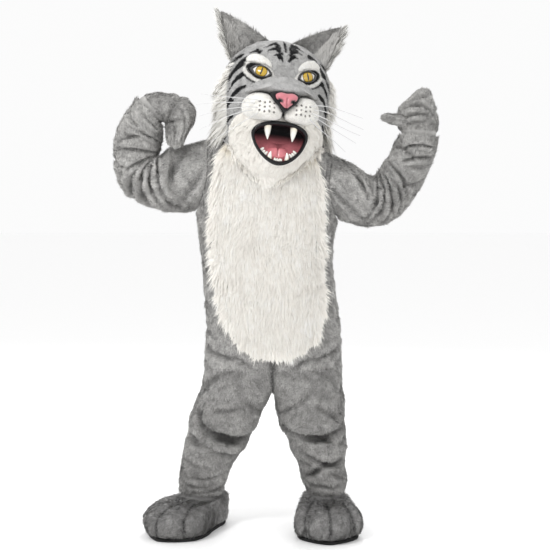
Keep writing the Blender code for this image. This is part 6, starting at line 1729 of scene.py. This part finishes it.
def muzzle():
    """Muzzle pads, nose bridge, and the nose with the dark rim round it."""
    for side, sign, seed in (("left", 1.0, 61), ("right", -1.0, 62)):
        furry_relief("pad_" + side, "muzzle_" + side, "white_fur", curve_through(mirrored(PAD, sign), 110),
                     (sign * 0.072, 0.144), always(PAD_RISE), muzzle_colour, (24, 2.6), (0.0, -0.30, 0.165),
                     9500, (0.0042, 0.0017, 0.45), seed, fall=0.3, depth=0.14, soft=0.85)
    furry_relief("bridge", "nose_bridge", "grey_plush", curve_through(BRIDGE, 128), (0.0, 0.236),
                 bridge_rise, always(HEAD_GREY), (20, 2.8), (0.0, -0.34, 0.17), 9500,
                 (0.0050, 0.0017, 0.40), 64, uneven=0.05)
    relief("nose_tip", "nose", curve_through(NOSE, 96), NOSE_MIDDLE, nose_rise, nose_colour, RUBBER,
           "pink_rubber", 36, 5.0)
    relief("nose_surround", "nose", curve_through(scaled(NOSE, NOSE_MIDDLE, 1.10), 96), NOSE_MIDDLE,
           always(0.080), always(BLACK), PLUSH, "black_rubber", 16, 9.0)


def eye_colour(centre, tilt):
    """White at the corners, a yellow iris with a dark ring, and an upright slit."""
    def colour(x, height):
        along = (x - centre[0]) * math.cos(tilt) + (height - centre[1]) * math.sin(tilt)
        rise = (height - centre[1]) * math.cos(tilt) - (x - centre[0]) * math.sin(tilt)
        size = math.hypot(along, rise)
        streak = 0.8 + 0.25 * math.sin(math.atan2(rise, along) * 17.0) * min(size / 0.01, 1.0)
        shade = mix(np.array(IRIS) * streak, BRIGHT_WHITE, float(ease((size - 0.0205) / 0.0015)))
        ring = math.exp(-((size - 0.0200) / 0.0014) ** 2)
        slit = (along / 0.0030) ** 2 + (rise / 0.0150) ** 2
        dark = max(ring, float(ease((1.15 - slit) / 0.25)))
        return mix(shade, BLACK, min(dark, 1.0))
    return colour


def ring_piece(name, node, sections, colour, finish):
    """A closed ring from its sections, smoothed round each section."""
    rows = np.array([curve_through(row, 18) for row in sections])
    count, around = rows.shape[:2]
    quads = grid_quads(count, around, True)
    wrap = grid_quads(2, around, True)[0]
    wrap = np.where(wrap >= around, wrap - around, wrap + (count - 1) * around)
    points = from_head(rows.reshape(-1, 3))
    dress(add_mesh(name, points, [quads.reshape(-1, 4), wrap], finish, colour), node)


def oval(centre, tilt, half_x, half_h):
    """A tilted oval with slightly pointed corners, seen from the front."""
    angles = ring_turns(72)
    x = half_x * np.cos(angles) * (1.0 + 0.10 * np.exp(-((angles % math.pi) / 0.5) ** 2))
    height = half_h * np.sin(angles)
    return np.stack([centre[0] + x * math.cos(tilt) - height * math.sin(tilt),
                     centre[1] + x * math.sin(tilt) + height * math.cos(tilt)], axis=-1)


def eyes():
    """Eyes, their dark rims and the white brow patches."""
    for side, sign, seed in (("left", 1.0, 71), ("right", -1.0, 72)):
        centre = sign * EYE_X, EYE_HEIGHT
        tilt = sign * EYE_TILT
        relief("eyeball_" + side, "eye_" + side, oval(centre, tilt, EYE_HALF_X + 0.002, EYE_HALF_H + 0.002),
               centre, always(0.009), eye_colour(centre, tilt), GLOSS, "eye_plastic", 28, 2.0)
        inner = oval(centre, tilt, EYE_HALF_X + 0.001, EYE_HALF_H + 0.001)
        outer = oval(centre, tilt, RIM_HALF_X, RIM_HALF_H)
        sections = []
        for (in_x, in_h), (out_x, out_h) in zip(inner, outer):
            near, far = face_depth(in_x, in_h) + 0.002, face_depth(out_x, out_h) + 0.002
            sections.append(((in_x, near, in_h), (in_x, near - 0.007, in_h),
                             ((in_x + out_x) / 2, (near + far) / 2 - 0.0125, (in_h + out_h) / 2),
                             (out_x, far - 0.006, out_h), (out_x, far, out_h)))
        ring_piece("eye_surround_" + side, "eye_rim_" + side, sections, BLACK, RUBBER)
        outline = curve_through(mirrored(BROW, sign), 80)
        furry_relief("brow_pad_" + side, "brow_" + side, "white_fur", outline, (sign * 0.096, 0.3165),
                     always(0.009), always(BRIGHT_WHITE), (12, 2.2), (0.0, -0.24, 0.27), 4500,
                     (0.0065, 0.0018, 0.5), seed, depth=0.14, soft=0.85)


LIP_SWELL = ((-0.0040, -0.004), (-0.0030, 0.0), (0.0, 0.0), (0.0030, -0.001), (0.0010, -0.005))


def lining_rows(turns, levels, count):
    """Rows of the mouth's lining, from the lip to the back wall."""
    rows = []
    for inset, behind, level in between_rings([np.array([row]) for row in levels], count)[:, 0]:
        row = mouth_edge(turns, inset, behind)
        row[:, 1] = row[:, 1] * (1.0 - level) + smooth(MOUTH_BACK, row[:, 2])[:, 0] * level
        rows.append(row)
    return np.array(rows)


def mouth():
    """Lip, lining, tongue and teeth."""
    angles = ring_turns(120)
    section = np.array(LIP_SECTION) + np.array(LIP_SWELL)
    sections = np.stack([mouth_edge(angles, inset, behind) for inset, behind in section], axis=1)
    ring_piece("lip_roll", "lip", sections, BLACK, VINYL)
    grid = lining_rows(angles, LINING, 20)
    tip = grid[-1].mean(axis=0) + BACKWARD * 0.004
    grid = np.concatenate([grid, np.array([tip + (grid[-1] - tip) * size for size in (0.5, 0.01)])])
    tint = mix(np.array(TONGUE_PINK) * 0.62, BLACK, ease((grid[..., 2] - 0.018) / 0.035))
    lining = cloth("mouth_skin", from_head(grid - BACKWARD * 0.0022), SOLE, tint, ring=True, thick=0.0012)
    dress(lining, "mouth_lining")
    bed = lining_rows(np.radians(np.linspace(216.0, 324.0, 41)), LINING[1:], 26)
    across = np.linspace(-1.0, 1.0, 41)
    along = np.linspace(0.0, 1.0, 26)[:, None]
    rise = 0.021 * (1.0 - across ** 4) * ease(along / 0.16 + 0.18) * (1.0 - 0.35 * along)
    rise = rise - 0.0050 * np.exp(-(across / 0.10) ** 2) * ease(along / 0.3)
    top = bed + unit(np.array((0.0, -0.235, 0.035)) - bed) * (rise + 0.003)[..., None]
    groove = np.exp(-(across / 0.07) ** 2) * ease(along / 0.3)
    tint = mix(TONGUE_PINK, DARK_PINK, 0.45 * groove + 0.25 * along)
    dress(cloth("tongue_skin", from_head(top), RUBBER, tint, thick=0.004), "tongue")
    for name, angle, length, radius in FANGS:
        fang(name, math.radians(angle), length, radius)
    for row in TOOTH_ROWS:
        tooth_row(*row)


def lip_frame(angle):
    """A seat on the lip's inner side and the way from it straight into the mouth."""
    near = mouth_edge(angle + np.linspace(-0.10, 0.10, 9), LIP_WIDE + 0.0007, 0.002)
    inward = np.array((near[3, 2] - near[5, 2], 0.0, near[5, 0] - near[3, 0]))
    return near[4], unit(inward)


TOOTH, TOOTH_ROOT = np.array((0.860, 0.850, 0.790)), np.array((0.95, 0.88, 0.74))


def fang(node, angle, length, radius):
    """A tapered, slightly hooked tooth standing on the lip's inner side."""
    seat, inward = lip_frame(angle)
    way = DOWN if math.sin(angle) > 0 else -DOWN
    beside = np.cross(inward, BACKWARD)
    hook = -0.12 * length * BACKWARD
    turns = ring_turns(24)[:, None]
    rings = []
    for part in np.concatenate([[-0.10], np.linspace(0.0, 0.96, 12), [0.985, 0.999]]):
        size = radius * 1.28 * max(1.0 - abs(part) ** 1.7, 0.0) ** 0.85
        middle = seat + inward * 0.25 * length * part + way * 0.75 * length * part + hook * part * abs(part)
        rings.append(middle + size * (beside * np.cos(turns) + BACKWARD * np.sin(turns)))
    part = np.repeat(np.linspace(0.0, 1.0, len(rings)), 24)
    tooth = add_mesh(node + "_tooth", from_head(np.concatenate(rings)), stack_faces(len(rings), 24), GLOSS,
                     mix(TOOTH * TOOTH_ROOT, TOOTH, ease(part / 0.4)))
    dress(tooth, node)


def tooth_row(name, node, start, end, height, count):
    """A short run of small rounded teeth."""
    turns = ring_turns(16)[:, None]
    points, faces = [], []
    for number in range(count):
        angle = math.radians(start + (end - start) * (number + 0.5) / count)
        seat, inward = lip_frame(angle)
        beside = np.cross(inward, BACKWARD)
        tall = height * (1.0 - 0.18 * (number % 2))
        half = 0.5 * math.radians(end - start) / count * 0.078
        for part in np.linspace(-0.25, 1.0, 9):
            size = (1.0 - max(part, 0.0) ** 3.0) ** 0.6 if part < 1.0 else 0.05
            x, y = np.cos(turns) * half * 0.95 * size, np.sin(turns) * 0.0045 * size
            points.append(seat + inward * tall * part + beside * x + BACKWARD * (y + 0.003))
        sides, first, last = stack_faces(9, 16, number * 9 * 16)
        faces += [sides, last, first]
    dress(add_mesh(name, from_head(np.concatenate(points)), faces, GLOSS, TOOTH), node)


def tube(points, radii, sides):
    """Points and faces of a tapered rod along a path."""
    heading = unit(np.gradient(points, axis=0))
    beside = unit(np.cross(heading, (0.1, 0.2, 1.0)))
    upright = np.cross(beside, heading)
    turns = ring_turns(sides)[None, :, None]
    ring = beside[:, None] * np.cos(turns) + upright[:, None] * np.sin(turns)
    grid = points[:, None] + ring * radii[:, None, None]
    return grid.reshape(-1, 3), grid_quads(len(points), sides, True).reshape(-1, 4)


def whiskers():
    """Tapered bristles that leave the pads square on and bend back."""
    part = np.linspace(0.0, 1.0, 26)[:, None]
    lean = WHISKER_STAND * (1.0 - (1.0 - np.minimum(part / 0.5, 1.0)) ** 2)
    for side, sign in (("left", 1.0), ("right", -1.0)):
        pad = bpy.data.objects["pad_" + side]
        for number, (x, height, reach, drop) in enumerate(WHISKERS, start=1):
            ahead = from_head((sign * x, -0.5, height))
            _, place, normal, _ = pad.ray_cast(Vector(ahead), Vector(HEAD_AXES[:, 1]))
            normal = np.array(normal)
            normal = normal if normal @ HEAD_AXES[:, 1] < 0.0 else -normal
            root = np.array(place) - normal * 0.002
            way = unit(HEAD_AXES @ (sign * reach, 0.04, drop))
            path = root + normal * lean + way * math.hypot(reach, drop) * part ** 1.5
            path = path + HEAD_AXES @ (0.0, 0.03, -0.012) * part ** 2
            path = path - DOWN * 0.010 * sign * np.sin(part * math.pi + number) * part
            points, faces = tube(path, WHISKER_RADIUS * (1.0 - 0.6 * part[:, 0]), 6)
            rod = add_mesh("whisker_rod_%s_%d" % (side, number), points, [faces], RUBBER, 0.64)
            dress(rod, "whisker_%s_%d" % (side, number))


EAR_ROWS, EAR_COLUMNS = 34, 41
FRINGE = {"steps": 2, "spread": 0.25, "swirl": 0.3, "gather": 0.8, "tuft": 0.012, "finish": LONG_FUR,
          "soft": 0.80}


def ear_layer(sign, behind):
    """One side of an ear's cup, from the head's shell to the tip; behind is how far back it lies."""
    tip = from_head(np.array(EAR_TIP) * (sign, 1.0, 1.0))
    down = unit(from_head(np.array(EAR_BASE) * (sign, 1.0, 1.0)) - tip)
    across = np.linspace(-1.0, 1.0, EAR_COLUMNS)
    start = from_head(np.stack([sign * (EAR_BASE[0] + EAR_HALF * across * 0.86),
                                EAR_BASE[1] + EAR_CUP * (1 - across ** 2) + behind,
                                EAR_BASE[2] + 0.07 - EAR_HALF * 0.62 * across], axis=-1))
    base = np.array([shell_hit(point, down) for point in start]) + down * 0.004
    middle = base[EAR_COLUMNS // 2]
    end = tip + HEAD_AXES[:, 1] * behind
    part = np.linspace(0.0, 0.985, EAR_ROWS)[:, None, None]
    narrow = np.maximum((1.0 - part) ** 0.80, 0.05)
    return middle * (1 - part) + end * part + (base - middle) * narrow, down


def ears():
    """Cupped ears of two sides, with short fur on both and a fringe."""
    for side, sign, seed in (("left", 1.0, 81), ("right", -1.0, 82)):
        front, down = ear_layer(sign, 0.0)
        back, _ = ear_layer(sign, EAR_THICK)
        out = unit(back.mean(axis=(0, 1)) - front.mean(axis=(0, 1)))
        front = front + out * 0.0015
        back = back - out * 0.0015
        rim = np.tile(np.abs(np.linspace(-1.0, 1.0, EAR_COLUMNS)), (EAR_ROWS, 1))
        part = np.linspace(0.0, 1.0, EAR_ROWS)[:, None]
        # Painted shade: the ear's front darkens towards the middle and the base of its cup.
        inside = ease((0.90 - rim) / 0.6) * ease((0.85 - part) / 0.6)
        tint = mix(mottled(front, GREY, seed, 0.12), EAR_SHADE_GREY, 0.16 * inside)
        back_tint = mottled(back, GREY, seed, 0.08)
        grid = np.concatenate([front, back[:, ::-1]], axis=1)
        colours = np.concatenate([tint, back_tint[:, ::-1]], axis=1)
        rows, columns = grid.shape[:2]
        top = (rows - 1) * columns + np.arange(columns)
        faces = [grid_quads(rows, columns, True).reshape(-1, 4),
                 np.stack([top[:40], top[1:41], top[columns - 2:40:-1], top[columns - 1:41:-1]], axis=-1)]
        # The ear's skin under its fur is darkened by painted shade.
        piece = add_mesh("ear_skin_" + side, grid.reshape(-1, 3), faces, PLUSH, colours.reshape(-1, 3) * 0.9)
        dress(piece, "ear_" + side)
        flow = sign * HEAD_AXES[:, 0] * 0.5 - down
        for label, layer, colour, away, number in (("front", front, tint, -HEAD_AXES[:, 1], 0),
                                                   ("back", back, back_tint, HEAD_AXES[:, 1], 1)):
            spots = scatter(layer, False, 5000, seed + number)
            long = 0.008 + 0.010 * over((rim ** 3)[..., None], spots)[:, 0]
            normal = unit(over(grid_side(layer, away), spots))
            fur = hair("ear_%s_%s_fur" % (side, label), over(layer, spots), normal, flow, over(colour, spots),
                       long, 0.0025, 0.45, seed + 3 + number, spread=0.5, swirl=0.4, gather=0.6, tuft=0.010)
        ear_fringe(side, sign, front, back, seed)


def grid_side(layer, away):
    """Unit vectors off a grid on the side that a direction names."""
    across = unit(np.cross(np.gradient(layer, axis=1), np.gradient(layer, axis=0)))
    return across if (across @ away).sum() > 0.0 else -across


def ear_fringe(side, sign, front, back, seed):
    """Long pale locks along the ear's outer edge, and softer ones from inside its cup."""
    rng = np.random.default_rng(seed + 9)
    edge = (front[:, -1] + back[:, -1]) / 2
    at = rng.uniform(0.0, 0.97, 2200) * (len(edge) - 1)
    low = at.astype(int)
    roots = edge[low] + (edge[low + 1] - edge[low]) * (at - low)[:, None]
    roots = roots + HEAD_AXES[:, 1] * rng.uniform(-0.005, 0.005, 2200)[:, None]
    out = unit(HEAD_AXES @ (sign, 0.0, 0.0))
    fade = 0.6 + 0.4 * np.sin(math.pi * at / len(edge))
    fur = hair("ear_fringe_fur_" + side, roots, out, HEAD_AXES @ (sign, 0.0, 0.55),
               np.array((0.88, 0.87, 0.84)), 0.048 * fade, 0.0030, 0.9, seed + 4, depth=0.14, **FRINGE)
    dress(fur, "ear_fringe_" + side)
    inner = front[:26, 24:]
    spots = scatter(inner, False, 1300, seed + 5)
    normal = unit(over(grid_side(inner, -HEAD_AXES[:, 1]), spots))
    tuft = hair("ear_tuft_" + side, over(inner, spots), normal, HEAD_AXES @ (sign * 0.7, -0.3, 0.9),
                np.array((0.62, 0.61, 0.59)), 0.026, 0.0024, 0.7, seed + 6, depth=0.20, **FRINGE)


def shell_hit(point, way):
    """Where a line meets the head's shell."""
    hit = SHELL.ray_cast(Vector(into_head(point)), Vector(unit(way @ HEAD_AXES)))
    return from_head(np.array(hit[0])) if hit[0] is not None else point + way * 0.09


def cheek_ruffs():
    """Long white fur down each side of the head, over the join of the face and the back."""
    for side, sign, seed in (("left", 1.0, 91), ("right", -1.0, 92)):
        turns = sign * np.radians(np.linspace(69.0, 102.0, 30))
        turn, part = np.meshgrid(turns, np.linspace(0.09, 0.74, 60))
        grid = head_grid(turn, part)
        out = outward(head_point, turn, part, height_step=0.01)
        spots = scatter(grid, False, 5800, seed)
        up = over(part[..., None], spots)[:, 0]
        low = ease((0.34 - up) / 0.2)
        long = 0.024 + 0.020 * ease((0.80 - up) / 0.30) + 0.026 * low
        long = long * (1.0 - 0.6 * ease((up - 0.62) / 0.12))
        flow = unit(HEAD_AXES @ (sign, 0.30, 0.0)) * 1.1 + DOWN * (0.70 + 0.8 * low)[:, None]
        fur = hair("ruff_" + side, over(grid, spots), unit(over(out, spots)), flow, np.array(BRIGHT_WHITE),
                   long, 0.0034, 0.55, seed, steps=2, spread=0.2, swirl=0.35, swirl_size=0.03, droop=0.15,
                   gather=0.9, tuft=0.018, ragged=0.45, depth=0.08, finish=LONG_FUR, soft=0.90)
        dress(fur, "cheek_ruff_" + side)


# Floor, light and camera


def plain(name, colour, rough):
    made = bpy.data.materials.new(name)
    made.use_nodes = True
    shader = made.node_tree.nodes["Principled BSDF"]
    shader.inputs["Base Color"].default_value = (*colour, 1.0)
    shader.inputs["Roughness"].default_value = rough
    return made


def floor():
    mesh = bpy.data.meshes.new("floor")
    corners = [(-30, -30, FLOOR), (30, -30, FLOOR), (30, 40, FLOOR), (-30, 40, FLOOR)]
    mesh.from_pydata(corners, [], [(0, 1, 2, 3)])
    mesh.materials.append(plain("floor", (0.985, 0.985, 0.985), 0.9))
    placed("floor", mesh)


def area_light(name, place, aim, size, power):
    lamp = bpy.data.lights.new(name, "AREA")
    lamp.shape = "DISK"
    lamp.size = size
    lamp.energy = power
    thing = placed(name, lamp)
    thing.location = place
    thing.rotation_euler = (Vector(aim) - Vector(place)).to_track_quat("-Z", "Y").to_euler()


def light():
    world = bpy.data.worlds.new("studio")
    bpy.context.scene.world = world
    world.use_nodes = True
    inputs = world.node_tree.nodes["Background"].inputs
    inputs["Color"].default_value = (1.0, 1.0, 1.0, 1.0)
    inputs["Strength"].default_value = 0.97
    bpy.context.scene.view_settings.view_transform = "Standard"
    area_light("key", (-2.4, -2.8, 2.6), (0.0, 0.0, -0.3), 1.0, 88.0)
    area_light("fill", (2.6, -2.8, 0.8), (0.0, 0.0, -0.4), 2.2, 12.0)
    area_light("back", (0.4, 3.2, 2.0), (0.0, 0.0, -0.2), 2.0, 70.0)


CAMERA_DISTANCE, CAMERA_HEIGHT, CAMERA_X = 4.4, 1.25, 0.0114
FOCAL_PIXELS, FRAME_PIXELS, SENSOR = 1158.0, 550.0, 36.0
AIM_PIXELS = 250.0


def camera():
    """The photograph's view: its pitch and lens are worked out from the floor line's height."""
    pitch = math.atan(CAMERA_HEIGHT / CAMERA_DISTANCE) - math.atan(AIM_PIXELS / FOCAL_PIXELS)
    made = bpy.data.cameras.new("camera")
    made.sensor_width = SENSOR
    made.lens = FOCAL_PIXELS / FRAME_PIXELS * SENSOR
    thing = placed("camera", made)
    thing.location = (CAMERA_X, -CAMERA_DISTANCE, FLOOR + CAMERA_HEIGHT)
    thing.rotation_euler = (math.pi / 2 - pitch, 0.0, 0.0)
    bpy.context.scene.camera = thing


def sheets():
    """Each cloth piece's area, measured over its grid; nothing further is done with it."""
    for piece, grid, ring, held, furs, keep in SHEETS:
        area = quad_areas(grid, grid_quads(*grid.shape[:2], ring))
        area = area.sum() if keep is None else (area * keep).sum()


camera()
floor()
light()
body_suit()
belly()
zip_tape()
sleeve("right", -1.0, SLEEVE_RIGHT, SLEEVE_FOLDS_RIGHT, SLEEVE_CREASES_RIGHT, 34000, 21)
sleeve("left", 1.0, SLEEVE_LEFT, SLEEVE_FOLDS_LEFT, SLEEVE_CREASES_LEFT, 34000, 22)
leg_rings = {"right": leg("right", -1.0, LEG_RIGHT, LEG_FOLDS_RIGHT, LEG_CREASES_RIGHT, 35000, 23),
             "left": leg("left", 1.0, LEG_LEFT, LEG_FOLDS_LEFT, LEG_CREASES_LEFT, 35000, 24)}
mitt("right", MITT_RIGHT, SLEEVE_RIGHT, MITT_CREASES_RIGHT, 14000, 25)
mitt("left", MITT_LEFT, SLEEVE_LEFT, MITT_CREASES_LEFT, 14000, 26)
thumb()
for number, (foot_side, foot_x, foot_y, foot_turn) in enumerate(FEET):
    foot(foot_side, foot_x, foot_y, foot_turn, leg_rings[foot_side], 27 + number)
head_shell()
SHELL = head_tree()
muzzle()
eyes()
mouth()
ears()
cheek_ruffs()
whiskers()
sheets()
for node in ("zip_slider", "zip_pull"):
    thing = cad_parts[node]
    thing.data.materials.clear()
    thing.data.materials.append(METAL)
